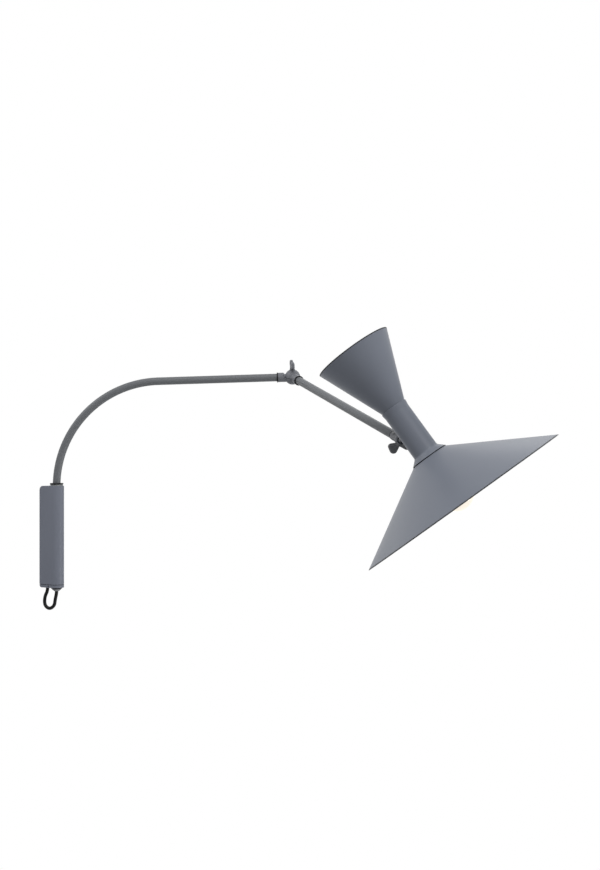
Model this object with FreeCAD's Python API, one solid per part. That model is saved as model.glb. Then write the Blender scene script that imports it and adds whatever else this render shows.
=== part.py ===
import FreeCAD, Part
import os
from math import acos, asin, atan2, cos, hypot, pi, radians, sin, sqrt, tan

# Articulating wall lamp: a narrow bracket on the wall carries a bent steel tube that swivels in it.
# The tube ends in a two-part knuckle with a wing screw, then comes a straight forearm, and a split
# clamp on the forearm's end grips the ball of the lamp head. The head is a spun tube with a wide
# cone below it and a narrow cone above it, each with its own bulb.
# All lengths are millimetres and all angles degrees.
# Row frame: the origin is the middle of the bracket's back on the wall, +X out of the wall, +Z up.

# Bracket on the wall
BRACKET_WIDTH = 22.8            # across, so the round nose has half of it as its radius
BRACKET_DEPTH = 36.4            # from the wall to the nose
BRACKET_TOP = 79.2              # above the origin
BRACKET_WALL = 2.0
WEB_HEIGHT = 9.0                # solid ends of the body, which hold the bushes
BODY_BOTTOM = -74.3
CAP_BOTTOM = -79.5
WALL_CORNER_RADIUS = 6.5        # corners against the wall, seen from the side
EDGE_RADIUS = 1.0
SEAM_DEPTH = 0.5                # shadow line between the body and its bottom cap

# Wall plate that the body hooks onto
PLATE_THICKNESS = 2.5
PLATE_SIDE_CLEARANCE = 0.2
EAR_LENGTH = 13.6
EAR_WIDTH = 12.0
PEG_RADIUS = 1.5
PEG_HEIGHT = 4.0
PEG_CLEARANCE = 0.1
WALL_SCREW_SPACING = 90.0
WALL_SCREW_RADIUS = 2.3
CABLE_ENTRY_RADIUS = 5.0
CABLE_ENTRY_HEIGHT = 20.0

# Tubes of both arms
TUBE_RADIUS = 6.0
TUBE_WALL = 1.0
ARM_BEND_RADIUS = 163.8
ARM_BEND_START = 78.9           # height where the arm starts to curve out
ARM_RISE = 1.8                  # slope that is left after the bend
ELBOW_REACH = 368.6             # from the swivel axis to the elbow's centre
FOREARM_LENGTH = 381.5          # from the elbow's centre to the ball's centre

# Bushes, collars and screws at the swivel
RUNNING_CLEARANCE = 0.08
FACE_CLEARANCE = 0.15
CUT_REACH = 50.0                # reach of a cut that passes right through a joint piece
BUSH_SLEEVE_RADIUS = 7.4
UPPER_FLANGE_RADIUS = 10.4
UPPER_FLANGE_THICKNESS = 1.9
BUSH_MOUTH_RELIEF = 0.5
TOP_COLLAR_RADIUS = 9.7
TOP_COLLAR_HEIGHT = 2.4
LOWER_FLANGE_RADIUS = 8.4
LOWER_FLANGE_THICKNESS = 1.9
RETAINER_RADIUS = 8.2
RETAINER_HEIGHT = 7.0
GRUB_RADIUS = 1.5
GROOVE_DEPTH = 0.6
SMALL_SCREW_RADIUS = 1.5
CAP_SCREW_X = 13.6
CAP_SCREW_HEAD_RADIUS = 2.2
CAP_SCREW_HEAD_HEIGHT = 1.8
CAP_SIDE_SCREW_X = 17.8

# Cord loop and its two ends
CORD_RADIUS = 2.65
CORD_EXIT_X = 6.9               # where the cord goes back up into the bracket
CORD_CLEARANCE = 0.1
GROMMET_SLEEVE_RADIUS = 3.9
GROMMET_FLANGE_RADIUS = 4.4
GROMMET_FLANGE_THICKNESS = 1.2
GLAND_RADIUS = 7.0
GLAND_TIP_RADIUS = 3.7
GLAND_LENGTH = 3.6
GLAND_SPIGOT_LENGTH = 8.0

# Terminal block inside the bracket
TERMINAL_PITCH = 8.0
TERMINAL_POLES = 3
TERMINAL_DEPTH = 11.0
TERMINAL_WIDTH = 15.0
TERMINAL_MIDDLE = -24.0
TERMINAL_WIRE_RADIUS = 1.6
TERMINAL_SCREW_RADIUS = 2.0
TERMINAL_SCREW_SPACING = 8.0

# Elbow knuckle
KNUCKLE_RADIUS = 12.0
KNUCKLE_FLAT = 11.0             # flats on top and bottom of the ball, from its centre
KNUCKLE_GAP = 0.6               # between the two halves, filled by the friction disc
FRICTION_DISC_THICKNESS = 0.5
FRICTION_DISC_RADIUS = 11.4
KNUCKLE_SWEEP_CLEARANCE = 0.35
KNUCKLE_SEAT = 12.2             # seat of the wing screw, on a small boss
KNUCKLE_SEAT_RADIUS = 4.4
SLEEVE_CHAMFER = 2.0            # on the free side of a sleeve, next to the ball
SLEEVE_RADIUS = 7.3
INNER_SLEEVE_END = 22.7         # from the ball's centre to the mouth of the arm's sleeve
OUTER_SLEEVE_END = 26.0
SLEEVE_FLOOR = 14.2             # where the tube ends inside the sleeve
WASHER_RADIUS = 7.6
WASHER_THICKNESS = 1.7
ELBOW_SCREW_RADIUS = 2.5
ELBOW_NUT_HEIGHT = 3.2
ELBOW_NUT_FLATS = 8.0

# Wing screws. A lobe is the hull of three circles, each (out from the axis, up from the seat, radius)
ELBOW_WING_LOBE = [(2.6, 4.4, 2.6), (9.6, 5.6, 3.8), (8.2, 9.0, 4.3)]
CLAMP_WING_LOBE = [(1.5, 6.2, 3.2), (10.6, 6.1, 4.2), (9.2, 11.9, 5.2)]
WING_THICKNESS = 5.2
WING_CHAMFER = 1.6
WING_HUB_RADIUS = 3.8
ELBOW_WING_HUB = 7.2            # height of the hub between the lobes
CLAMP_WING_HUB = 9.2

# Split clamp on the forearm's end
CLAMP_RADIUS = 6.8
CLAMP_BALL_RADIUS = 7.2
CLAMP_SLOT = 0.8
CLAMP_MOUTH_FROM_BALL = 19.0    # arm end of the clamp, back from the ball's centre
CLAMP_WASHER_RADIUS = 6.5
CLAMP_SCREW_FROM_BALL = 13.5
CLAMP_SCREW_RADIUS = 2.0
CLAMP_SCREW_ANGLE = 22.5        # clamp screw out of the plane in which the stud tilts
CLAMP_LIP_ANGLE = 67.0          # lip of the ball seat, from the clamp's axis
CLAMP_FLAT = 5.6                # flats for the wing screw and the nut, from the clamp's axis
CLAMP_NUT_FLATS = 7.0
CLAMP_NUT_HEIGHT = 2.4
CLAMP_NUT_POCKET = 1.1
SEAT_CLEARANCE = 0.15
SPIGOT_NECK_RADIUS = 3.0
SPIGOT_HEAD_RADIUS = 4.2
SPIGOT_HEAD_LENGTH = 1.2
SPIGOT_PLUG_LENGTH = 12.0

# Ball stud
BALL_RADIUS = 5.2
STUD_NECK_RADIUS = 2.2
STUD_FLANGE_RADIUS = 5.0
STUD_FLANGE_START = 10.4        # from the ball's centre
STUD_FLANGE_THICKNESS = 1.2
STUD_SHANK_RADIUS = 4.0
STUD_BORE_RADIUS = 1.2
STUD_NUT_FLATS = 11.0
STUD_NUT_HEIGHT = 4.0

# Lamp head, measured along its own axis from the stud upwards
HEAD_OFFSET = 31.0              # from the ball's centre to the head's axis
HEAD_RADIUS = 17.3
HEAD_WALL = 1.2
SEAM_HEIGHT = 36.4
SEAM_LIP_RADIUS = 18.35
SEAM_LIP_HEIGHT = 7.3
NECK_HEIGHT = -40.6
NECK_RADIUS = 25.1
NECK_FLARE_HEIGHT = 7.2
NECK_FLARE_FILLET = 4.0
CONE_WALL = 1.0
UPPER_MOUTH_HEIGHT = 125.3
UPPER_MOUTH_RADIUS = 53.2
LOWER_RIM_HEIGHT = -113.5
LOWER_RIM_RADIUS = 147.5
GASKET_THICKNESS = 0.8
GASKET_PROUD = 0.3
CONE_NECK_RADIUS = 24.8
SADDLE_RADIUS = 6.5
SADDLE_FOOT_RADIUS = 8.5
INNER_SADDLE_RADIUS = 6.0
INNER_SADDLE_THICKNESS = 2.6
NEST_CLEARANCE = 0.1

# Lampholders and bulbs
HOLDER_BASE_RADIUS = 12.2
HOLDER_BASE_LENGTH = 16.0
HOLDER_SHOULDER_RADIUS = 15.2
HOLDER_SHOULDER_THICKNESS = 1.6
HOLDER_SKIRT_RADIUS = 12.7
HOLDER_SKIRT_LENGTH = 26.0
HOLDER_CAVITY_RADIUS = 9.0
HOLDER_CAVITY_DEPTH = 24.0
HOLDER_CLEARANCE = 0.2
SHADE_RING_RADIUS = 14.9
SHADE_RING_HEIGHT = 4.0
SHADE_RING_GRIPS = 12
BRIDGE_THICKNESS = 2.0
BULB_RADIUS = 22.5
BULB_LENGTH = 75.5
BULB_NECK_RADIUS = 8.6
BULB_CAP_RADIUS = 6.8
BULB_CAP_LENGTH = 24.0
BULB_IN_HOLDER = 22.0           # how much of the cap is inside the lampholder

# Rest pose
ARM_YAW = 30.0                  # arm away from straight out of the wall
ELBOW_ROLL = 16.4               # knuckle turned about the arm's end
ELBOW_BEND = -68.6              # forearm about the knuckle's screw
ELBOW_WING_TURN = -14.0         # lobes of the elbow's wing screw, from the forearm
HEAD_ROLL = 85.9                # clamp about the forearm
HEAD_TILT = 35.3                # stud in the clamp
HEAD_TURN = -63.6               # head about the stud
CLAMP_WING_TURN = 64.0          # lobes of the clamp's wing screw, from the forearm

# Route of the cord loop, chosen by hand: out of the swivel tube, round, and back into the bracket
CORD_ROUTE = [
    (25.0, 0.0, -82.4),
    (25.0, 0.0, -88.4),
    (24.4, -2.6, -97.6),
    (24.3, -4.4, -108.0),
    (14.4, -5.2, -113.6),
    (4.6, -5.0, -107.8),
    (4.3, -3.9, -94.5),
    (6.9, 0.0, -85.6),
    (6.9, 0.0, -77.6),
]

# Places that follow from the sizes above
SWIVEL_X = BRACKET_DEPTH - BRACKET_WIDTH / 2
CAVITY_TOP = BRACKET_TOP - WEB_HEIGHT
CAVITY_BOTTOM = BODY_BOTTOM + WEB_HEIGHT
TUBE_BOTTOM = CAP_BOTTOM - LOWER_FLANGE_THICKNESS - 1.6
BEND_ANGLE = 90.0 - ARM_RISE
BEND_END_X = ARM_BEND_RADIUS * (1 - cos(radians(BEND_ANGLE)))
BEND_END_Z = ARM_BEND_START + ARM_BEND_RADIUS * sin(radians(BEND_ANGLE))
ELBOW_HEIGHT = BEND_END_Z + (ELBOW_REACH - BEND_END_X) * tan(radians(ARM_RISE))
BOSS_FROM_BALL = STUD_FLANGE_START + STUD_FLANGE_THICKNESS + FACE_CLEARANCE

VECTOR = FreeCAD.Vector
ORIGIN = VECTOR(0, 0, 0)
X_AXIS = VECTOR(1, 0, 0)
Y_AXIS = VECTOR(0, 1, 0)
Z_AXIS = VECTOR(0, 0, 1)


def turn(axis, angle):
    return FreeCAD.Placement(ORIGIN, FreeCAD.Rotation(axis, angle))


def shift(x, y, z):
    return FreeCAD.Placement(VECTOR(x, y, z), FreeCAD.Rotation())


# One frame for each moving body, each carried by the one before it
AT_ROW = FreeCAD.Placement()
AT_ARM = shift(SWIVEL_X, 0, 0) * turn(Z_AXIS, ARM_YAW)
AT_ARM_END = AT_ARM * shift(ELBOW_REACH, 0, ELBOW_HEIGHT) * turn(Y_AXIS, -ARM_RISE)
AT_ELBOW = AT_ARM_END * turn(X_AXIS, ELBOW_ROLL)
AT_FOREARM = AT_ELBOW * turn(Z_AXIS, ELBOW_BEND)
AT_BALL = AT_FOREARM * shift(FOREARM_LENGTH, 0, 0)
AT_TILT = AT_BALL * turn(X_AXIS, HEAD_ROLL)
AT_CLAMP = AT_TILT * turn(X_AXIS, CLAMP_SCREW_ANGLE - 90)
AT_STUD = AT_TILT * turn(Z_AXIS, HEAD_TILT)
AT_HEAD = AT_STUD * turn(X_AXIS, HEAD_TURN) * shift(HEAD_OFFSET, 0, 0)


def placed(shape, frame):
    moved = shape.copy()
    moved.transformShape(frame.toMatrix(), True)
    return moved


def rod(radius, start, end, axis=Z_AXIS, base=ORIGIN):
    """Cylinder from start to end along an axis through base."""
    return Part.makeCylinder(radius, end - start, base + axis * start, axis)


def ring(outer, inner, start, end, axis=Z_AXIS, base=ORIGIN):
    return rod(outer, start, end, axis, base).cut(rod(inner, start - 1, end + 1, axis, base))


def prism(across_flats, start, end, axis=Z_AXIS, base=ORIGIN):
    """Hexagon bar, for nuts and their pockets."""
    corner = across_flats / sqrt(3)
    side = VECTOR(0, 0, 1).cross(axis)
    side = X_AXIS if side.Length < 0.5 else side
    other = axis.cross(side)
    points = []
    for i in range(7):
        angle = radians(60 * i)
        points.append(base + axis * start + side * (corner * cos(angle)) + other * (corner * sin(angle)))
    return Part.Face(Part.makePolygon(points)).extrude(axis * (end - start))


def spun(outline, axis=Z_AXIS, base=ORIGIN):
    """Body of revolution. Each entry is (radius, height), or (radius, height, radius, height) for
    an arc through the first point to the second."""
    side = X_AXIS if abs(axis.x) < 0.5 else Y_AXIS

    def at(radius, height):
        return base + side * radius + axis * height

    edges = []
    here = at(*outline[0])
    for entry in list(outline[1:]) + [outline[0]]:
        if len(entry) == 4:
            middle = at(entry[0], entry[1])
            there = at(entry[2], entry[3])
            edges.append(Part.Arc(here, middle, there).toShape())
        else:
            there = at(*entry)
            edges.append(Part.makeLine(here, there))
        here = there
    return Part.Face(Part.Wire(edges)).revolve(base, axis, 360)


def box(low, high):
    return Part.makeBox(high[0] - low[0], high[1] - low[1], high[2] - low[2], VECTOR(*low))


def fused(shapes):
    whole = shapes[0]
    for shape in shapes[1:]:
        whole = whole.fuse(shape)
    return whole.removeSplitter()


# Bracket

def nose_outline(inset, low, high):
    """Column with a flat back and a round nose, inset from the bracket's outline."""
    radius = BRACKET_WIDTH / 2 - inset
    block = box((0, -radius, low), (SWIVEL_X, radius, high))
    return fused([block, rod(radius, low, high, base=VECTOR(SWIVEL_X, 0, 0))])


def side_outline(low, high, low_radius, high_radius):
    """Side view of the bracket, rounded against the wall, as wide as needed."""
    half = BRACKET_WIDTH
    block = box((0, -half, low), (BRACKET_DEPTH + 1, half, high))
    corners = []
    for height, radius in ((low, low_radius), (high, high_radius)):
        if radius:
            inward = 1 if height == low else -1
            middle = height + inward * radius
            blank = box((-1, -half, min(height, middle)), (radius, half, max(height, middle)))
            corners.append(blank.cut(rod(radius, -half, half, Y_AXIS, VECTOR(radius, 0, middle))))
            outside = box((-1, -half, min(height - inward, height)), (radius, half, max(height - inward, height)))
            corners.append(outside)
    for corner in corners:
        block = block.cut(corner)
    return block


def bracket_body():
    body = nose_outline(0, BODY_BOTTOM, BRACKET_TOP)
    top_edges = [e for e in body.Edges if abs(e.CenterOfMass.z - BRACKET_TOP) < 1e-6 and e.CenterOfMass.x > 1]
    body = body.makeFillet(EDGE_RADIUS, top_edges)
    body = body.common(side_outline(BODY_BOTTOM, BRACKET_TOP, 0, WALL_CORNER_RADIUS))
    hollow = nose_outline(BRACKET_WALL, CAVITY_BOTTOM, CAVITY_TOP)
    body = body.cut(hollow)
    body = body.cut(rod(BUSH_SLEEVE_RADIUS, BODY_BOTTOM - 1, BRACKET_TOP + 1, base=VECTOR(SWIVEL_X, 0, 0)))
    body = body.cut(rod(GROMMET_SLEEVE_RADIUS, BODY_BOTTOM - 1, CAVITY_BOTTOM + 1, base=VECTOR(CORD_EXIT_X, 0, 0)))
    body = body.cut(rod(SMALL_SCREW_RADIUS + PEG_CLEARANCE, BODY_BOTTOM - 1, CAVITY_BOTTOM + 1,
                        base=VECTOR(CAP_SCREW_X, 0, 0)))
    body = body.cut(rod(PEG_RADIUS + PEG_CLEARANCE, CAVITY_TOP - 1, CAVITY_TOP + PEG_HEIGHT + 0.5,
                        base=VECTOR(CAP_SCREW_X - PLATE_THICKNESS, 0, 0)))
    return body


def bottom_cap():
    cap = nose_outline(0, CAP_BOTTOM, BODY_BOTTOM)
    low_edges = [e for e in cap.Edges if abs(e.CenterOfMass.z - CAP_BOTTOM) < 1e-6 and e.CenterOfMass.x > 1]
    cap = cap.makeFillet(EDGE_RADIUS, low_edges)
    cap = cap.common(side_outline(CAP_BOTTOM, BODY_BOTTOM, WALL_CORNER_RADIUS * 0.75, 0))
    rebate = nose_outline(-1, BODY_BOTTOM - SEAM_DEPTH, BODY_BOTTOM)
    cap = cap.cut(rebate.cut(nose_outline(SEAM_DEPTH, BODY_BOTTOM - SEAM_DEPTH - 1, BODY_BOTTOM + 1)))
    cap = cap.cut(rod(BUSH_SLEEVE_RADIUS, CAP_BOTTOM - 1, BODY_BOTTOM + 1, base=VECTOR(SWIVEL_X, 0, 0)))
    cap = cap.cut(rod(GROMMET_SLEEVE_RADIUS, CAP_BOTTOM - 1, BODY_BOTTOM + 1, base=VECTOR(CORD_EXIT_X, 0, 0)))
    screw_at = VECTOR(CAP_SCREW_X, 0, 0)
    cap = cap.cut(rod(SMALL_SCREW_RADIUS + PEG_CLEARANCE, CAP_BOTTOM - 1, BODY_BOTTOM + 1, base=screw_at))
    cap = cap.cut(rod(CAP_SCREW_HEAD_RADIUS + PEG_CLEARANCE, CAP_BOTTOM - 1,
                      CAP_BOTTOM + CAP_SCREW_HEAD_HEIGHT, base=screw_at))
    return cap.cut(side_screws(PEG_CLEARANCE, 1.0))


def side_screws(clearance=0.0, overshoot=-0.6):
    """Two small screws that pinch the cap to the lower bush, one on each side."""
    height = (CAP_BOTTOM + BODY_BOTTOM - SEAM_DEPTH) / 2
    start = BRACKET_WIDTH / 2 - 4.0
    end = BRACKET_WIDTH / 2 + overshoot
    at = VECTOR(CAP_SIDE_SCREW_X, 0, height)
    screws = []
    for side in (1, -1):
        screws.append(rod(1.2 + clearance, start, end, VECTOR(0, side, 0), at))
    return Part.Compound(screws)


def cap_screw():
    at = VECTOR(CAP_SCREW_X, 0, 0)
    shank = rod(SMALL_SCREW_RADIUS, CAP_BOTTOM + 0.2, CAVITY_BOTTOM + PLATE_THICKNESS + 1, base=at)
    head = rod(CAP_SCREW_HEAD_RADIUS, CAP_BOTTOM + 0.2, CAP_BOTTOM + CAP_SCREW_HEAD_HEIGHT, base=at)
    socket = prism(2.0, CAP_BOTTOM, CAP_BOTTOM + 1.3, base=at)
    return fused([shank, head]).cut(socket)


def wall_plate():
    half = BRACKET_WIDTH / 2 - BRACKET_WALL - PLATE_SIDE_CLEARANCE
    low = CAVITY_BOTTOM + PLATE_SIDE_CLEARANCE
    high = CAVITY_TOP - PLATE_SIDE_CLEARANCE
    plate = box((0, -half, low), (PLATE_THICKNESS, half, high))
    reach = PLATE_THICKNESS + EAR_LENGTH
    lower_ear = box((0, -EAR_WIDTH / 2, low), (reach, EAR_WIDTH / 2, low + PLATE_THICKNESS))
    upper_ear = box((0, -EAR_WIDTH / 2, high - PLATE_THICKNESS), (reach, EAR_WIDTH / 2, high))
    peg_at = VECTOR(CAP_SCREW_X - PLATE_THICKNESS, 0, 0)
    peg = rod(PEG_RADIUS, high - PLATE_THICKNESS, CAVITY_TOP + PEG_HEIGHT, base=peg_at)
    plate = fused([plate, lower_ear, upper_ear, peg])
    for height in (-WALL_SCREW_SPACING / 2, WALL_SCREW_SPACING / 2):
        plate = plate.cut(rod(WALL_SCREW_RADIUS, -1, PLATE_THICKNESS + 1, X_AXIS, VECTOR(0, 0, height)))
    plate = plate.cut(rod(CABLE_ENTRY_RADIUS, -1, PLATE_THICKNESS + 1, X_AXIS, VECTOR(0, 0, CABLE_ENTRY_HEIGHT)))
    plate = plate.cut(rod(GROMMET_SLEEVE_RADIUS, low - 1, low + PLATE_THICKNESS + 1, base=VECTOR(CORD_EXIT_X, 0, 0)))
    return plate.cut(rod(SMALL_SCREW_RADIUS, low - 1, low + PLATE_THICKNESS + 1, base=VECTOR(CAP_SCREW_X, 0, 0)))


def upper_bush():
    bore = TUBE_RADIUS + RUNNING_CLEARANCE
    seat = BRACKET_TOP + TOP_COLLAR_HEIGHT
    top = seat + UPPER_FLANGE_THICKNESS
    relief = bore + BUSH_MOUTH_RELIEF
    return spun([
        (bore, CAVITY_TOP), (BUSH_SLEEVE_RADIUS, CAVITY_TOP), (BUSH_SLEEVE_RADIUS, seat),
        (UPPER_FLANGE_RADIUS, seat), (UPPER_FLANGE_RADIUS, top - 0.5), (UPPER_FLANGE_RADIUS - 0.5, top),
        (relief, top), (relief, ARM_BEND_START), (bore, ARM_BEND_START - 1.0),
    ], base=VECTOR(SWIVEL_X, 0, 0))


def top_collar():
    top = BRACKET_TOP + TOP_COLLAR_HEIGHT
    return spun([
        (BUSH_SLEEVE_RADIUS, BRACKET_TOP), (TOP_COLLAR_RADIUS, BRACKET_TOP),
        (TOP_COLLAR_RADIUS, top - 0.6), (TOP_COLLAR_RADIUS - 0.6, top), (BUSH_SLEEVE_RADIUS, top),
    ], base=VECTOR(SWIVEL_X, 0, 0))


def lower_bush():
    bore = TUBE_RADIUS + RUNNING_CLEARANCE
    low = CAP_BOTTOM - LOWER_FLANGE_THICKNESS
    return spun([
        (bore, CAVITY_BOTTOM), (BUSH_SLEEVE_RADIUS, CAVITY_BOTTOM), (BUSH_SLEEVE_RADIUS, CAP_BOTTOM),
        (LOWER_FLANGE_RADIUS, CAP_BOTTOM), (LOWER_FLANGE_RADIUS, low + 0.4), (LOWER_FLANGE_RADIUS - 0.4, low),
        (bore, low),
    ], base=VECTOR(SWIVEL_X, 0, 0))


def cord_grommet():
    bore = CORD_RADIUS + CORD_CLEARANCE
    low = CAP_BOTTOM - GROMMET_FLANGE_THICKNESS
    return spun([
        (bore, CAVITY_BOTTOM), (GROMMET_SLEEVE_RADIUS, CAVITY_BOTTOM), (GROMMET_SLEEVE_RADIUS, CAP_BOTTOM),
        (GROMMET_FLANGE_RADIUS, CAP_BOTTOM), (GROMMET_FLANGE_RADIUS - 0.5, low), (bore, low),
    ], base=VECTOR(CORD_EXIT_X, 0, 0))


def terminal_rows():
    first = TERMINAL_MIDDLE - TERMINAL_PITCH * (TERMINAL_POLES - 1) / 2
    return [first + TERMINAL_PITCH * i for i in range(TERMINAL_POLES)]


def terminal_block():
    half = TERMINAL_PITCH * TERMINAL_POLES / 2
    front = PLATE_THICKNESS + TERMINAL_DEPTH
    block = box((PLATE_THICKNESS, -TERMINAL_WIDTH / 2, TERMINAL_MIDDLE - half),
                (front, TERMINAL_WIDTH / 2, TERMINAL_MIDDLE + half))
    for height in terminal_rows():
        wire_at = VECTOR(PLATE_THICKNESS + TERMINAL_DEPTH * 0.35, 0, height)
        block = block.cut(rod(TERMINAL_WIRE_RADIUS, -TERMINAL_WIDTH, TERMINAL_WIDTH, Y_AXIS, wire_at))
        for side in (-0.5, 0.5):
            screw_at = VECTOR(0, TERMINAL_SCREW_SPACING * side, height)
            block = block.cut(rod(TERMINAL_SCREW_RADIUS, PLATE_THICKNESS + TERMINAL_DEPTH * 0.35, front + 1,
                                  X_AXIS, screw_at))
    return block


def terminal_screws():
    front = PLATE_THICKNESS + TERMINAL_DEPTH
    start = PLATE_THICKNESS + TERMINAL_DEPTH * 0.35 + TERMINAL_WIRE_RADIUS + 0.5
    screws = []
    for height in terminal_rows():
        for side in (-0.5, 0.5):
            at = VECTOR(0, TERMINAL_SCREW_SPACING * side, height)
            screw = rod(TERMINAL_SCREW_RADIUS, start, front - 1.5, X_AXIS, at)
            slot = box((front - 2.3, at.y - TERMINAL_SCREW_RADIUS - 1, height - 0.4),
                       (front, at.y + TERMINAL_SCREW_RADIUS + 1, height + 0.4))
            screws.append(screw.cut(slot))
    return Part.Compound(screws)


def cord_loop():
    """Straight runs joined by tangent arcs, each as large as its two runs allow."""
    points = [VECTOR(*p) for p in CORD_ROUTE]
    edges = []
    here = points[0]
    for i in range(1, len(points) - 1):
        back = (points[i - 1] - points[i])
        ahead = (points[i + 1] - points[i])
        shorter = min(back.Length, ahead.Length)
        back.normalize()
        ahead.normalize()
        half_turn = (pi - acos(back.dot(ahead))) / 2
        radius = 0.45 * shorter / tan(half_turn)
        print("cord radius at point", i, round(radius, 1))
        tangent = radius * tan(half_turn)
        start = points[i] + back * tangent
        end = points[i] + ahead * tangent
        inward = back + ahead
        inward.normalize()
        middle = points[i] + inward * (radius / cos(half_turn) - radius)
        edges.append(Part.LineSegment(here, start).toShape())
        edges.append(Part.Arc(start, middle, end).toShape())
        here = end
    edges.append(Part.LineSegment(here, points[-1]).toShape())
    path = Part.Wire(edges)
    first = points[1] - points[0]
    section = Part.Wire(Part.makeCircle(CORD_RADIUS, points[0], first))
    tube = path.makePipeShell([section], True, True)
    expected = pi * CORD_RADIUS ** 2 * path.Length
    print("cord length", round(path.Length, 1), "volume", round(tube.Volume, 1), "expected", round(expected, 1))
    return tube


# Arm

def arm_path(start, end_back):
    """Centre line of the arm in its own frame, up to end_back short of the elbow's centre."""
    rise = radians(ARM_RISE)
    half = radians(BEND_ANGLE / 2)
    foot = VECTOR(0, 0, start)
    bend_start = VECTOR(0, 0, ARM_BEND_START)
    bend_middle = VECTOR(ARM_BEND_RADIUS * (1 - cos(half)), 0, ARM_BEND_START + ARM_BEND_RADIUS * sin(half))
    bend_end = VECTOR(BEND_END_X, 0, BEND_END_Z)
    tip = VECTOR(ELBOW_REACH - end_back * cos(rise), 0, ELBOW_HEIGHT - end_back * sin(rise))
    return Part.Wire([
        Part.LineSegment(foot, bend_start).toShape(),
        Part.Arc(bend_start, bend_middle, bend_end).toShape(),
        Part.LineSegment(bend_end, tip).toShape(),
    ])


def along_arm(radius):
    """Round bar that follows the arm, with its seam on the side of the bend."""
    section = Part.Wire(Part.makeCircle(radius, VECTOR(0, 0, TUBE_BOTTOM), Z_AXIS, 90, 450))
    return arm_path(TUBE_BOTTOM, SLEEVE_FLOOR).makePipeShell([section], True, True)


def arm_tube():
    tube = along_arm(TUBE_RADIUS).cut(along_arm(TUBE_RADIUS - TUBE_WALL))
    groove = ring(TUBE_RADIUS + 1, TUBE_RADIUS - GROOVE_DEPTH, -GRUB_RADIUS - 0.2, GRUB_RADIUS + 0.2, X_AXIS)
    along = shift(ELBOW_REACH, 0, ELBOW_HEIGHT) * turn(Y_AXIS, -ARM_RISE)
    along = along * shift(-(SLEEVE_FLOOR + INNER_SLEEVE_END) / 2, 0, 0)
    return tube.cut(placed(groove, along))


def retaining_collar():
    low = CAVITY_BOTTOM + FACE_CLEARANCE
    collar = ring(RETAINER_RADIUS, TUBE_RADIUS, low, low + RETAINER_HEIGHT)
    screw_at = VECTOR(0, 0, low + RETAINER_HEIGHT / 2)
    return collar.cut(rod(GRUB_RADIUS, 0, RETAINER_RADIUS + 1, VECTOR(-1, 0, 0), screw_at))


def retaining_screw():
    low = CAVITY_BOTTOM + FACE_CLEARANCE + RETAINER_HEIGHT / 2
    screw_at = VECTOR(0, 0, low)
    screw = rod(GRUB_RADIUS, TUBE_RADIUS + 0.02, RETAINER_RADIUS - 0.3, VECTOR(-1, 0, 0), screw_at)
    return screw.common(ring(RETAINER_RADIUS, TUBE_RADIUS, low - 5, low + 5))


def cord_gland():
    bore = CORD_RADIUS + CORD_CLEARANCE
    top = CAP_BOTTOM - LOWER_FLANGE_THICKNESS - FACE_CLEARANCE
    tip = top - GLAND_LENGTH
    spigot = TUBE_RADIUS - TUBE_WALL
    return spun([
        (bore, TUBE_BOTTOM + GLAND_SPIGOT_LENGTH), (spigot, TUBE_BOTTOM + GLAND_SPIGOT_LENGTH),
        (spigot, TUBE_BOTTOM), (TUBE_RADIUS, TUBE_BOTTOM), (TUBE_RADIUS, top), (GLAND_RADIUS, top),
        (GLAND_RADIUS, top - 0.9), (GLAND_TIP_RADIUS, tip), (bore, tip),
    ])


# Elbow

def knuckle(sleeve_end, tube_bore, seat):
    """Half of the split ball with its sleeve along +X, on the +Z side of the joint face."""
    face = KNUCKLE_GAP / 2
    own_side = box((-CUT_REACH, -CUT_REACH, face), (CUT_REACH, CUT_REACH, CUT_REACH))
    slab = box((-CUT_REACH, -CUT_REACH, face), (CUT_REACH, CUT_REACH, KNUCKLE_FLAT))
    ball = Part.makeSphere(KNUCKLE_RADIUS).common(slab)
    end = SLEEVE_RADIUS - 0.5
    bar = spun([(0, 0), (SLEEVE_RADIUS, 0), (SLEEVE_RADIUS, sleeve_end - 0.5), (end, sleeve_end),
                (0, sleeve_end)], X_AXIS)
    swept = KNUCKLE_RADIUS + KNUCKLE_SWEEP_CLEARANCE
    shoulder = swept + SLEEVE_CHAMFER
    sleeve = spun([(0, 0), (SLEEVE_RADIUS - SLEEVE_CHAMFER, 0), (SLEEVE_RADIUS - SLEEVE_CHAMFER, swept),
                   (SLEEVE_RADIUS, shoulder), (SLEEVE_RADIUS, sleeve_end - 0.5), (end, sleeve_end),
                   (0, sleeve_end)], X_AXIS)
    boss = rod(KNUCKLE_SEAT_RADIUS, KNUCKLE_FLAT - 1, seat)
    part = fused([ball, bar.common(own_side), sleeve.cut(Part.makeSphere(swept)), boss])
    part = part.cut(rod(tube_bore, SLEEVE_FLOOR, sleeve_end + 1, X_AXIS))
    return part.cut(rod(ELBOW_SCREW_RADIUS + RUNNING_CLEARANCE, -CUT_REACH, CUT_REACH))


def sleeve_screw_hole(sleeve_end, side):
    at = VECTOR((SLEEVE_FLOOR + sleeve_end) / 2, 0, 0)
    return rod(GRUB_RADIUS, 0, SLEEVE_RADIUS + 1, VECTOR(0, 0, side), at)


def sleeve_screw(sleeve_end, side, reach):
    at = VECTOR((SLEEVE_FLOOR + sleeve_end) / 2, 0, 0)
    screw = rod(GRUB_RADIUS, reach, SLEEVE_RADIUS - 0.6, VECTOR(0, 0, side), at)
    socket = prism(1.4, SLEEVE_RADIUS - 1.0, SLEEVE_RADIUS, VECTOR(0, 0, side), at)
    return screw.cut(socket)


def elbow_nut_pocket():
    return prism(ELBOW_NUT_FLATS + 0.1, KNUCKLE_FLAT - ELBOW_NUT_HEIGHT - 0.2, KNUCKLE_FLAT + 1)


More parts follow.
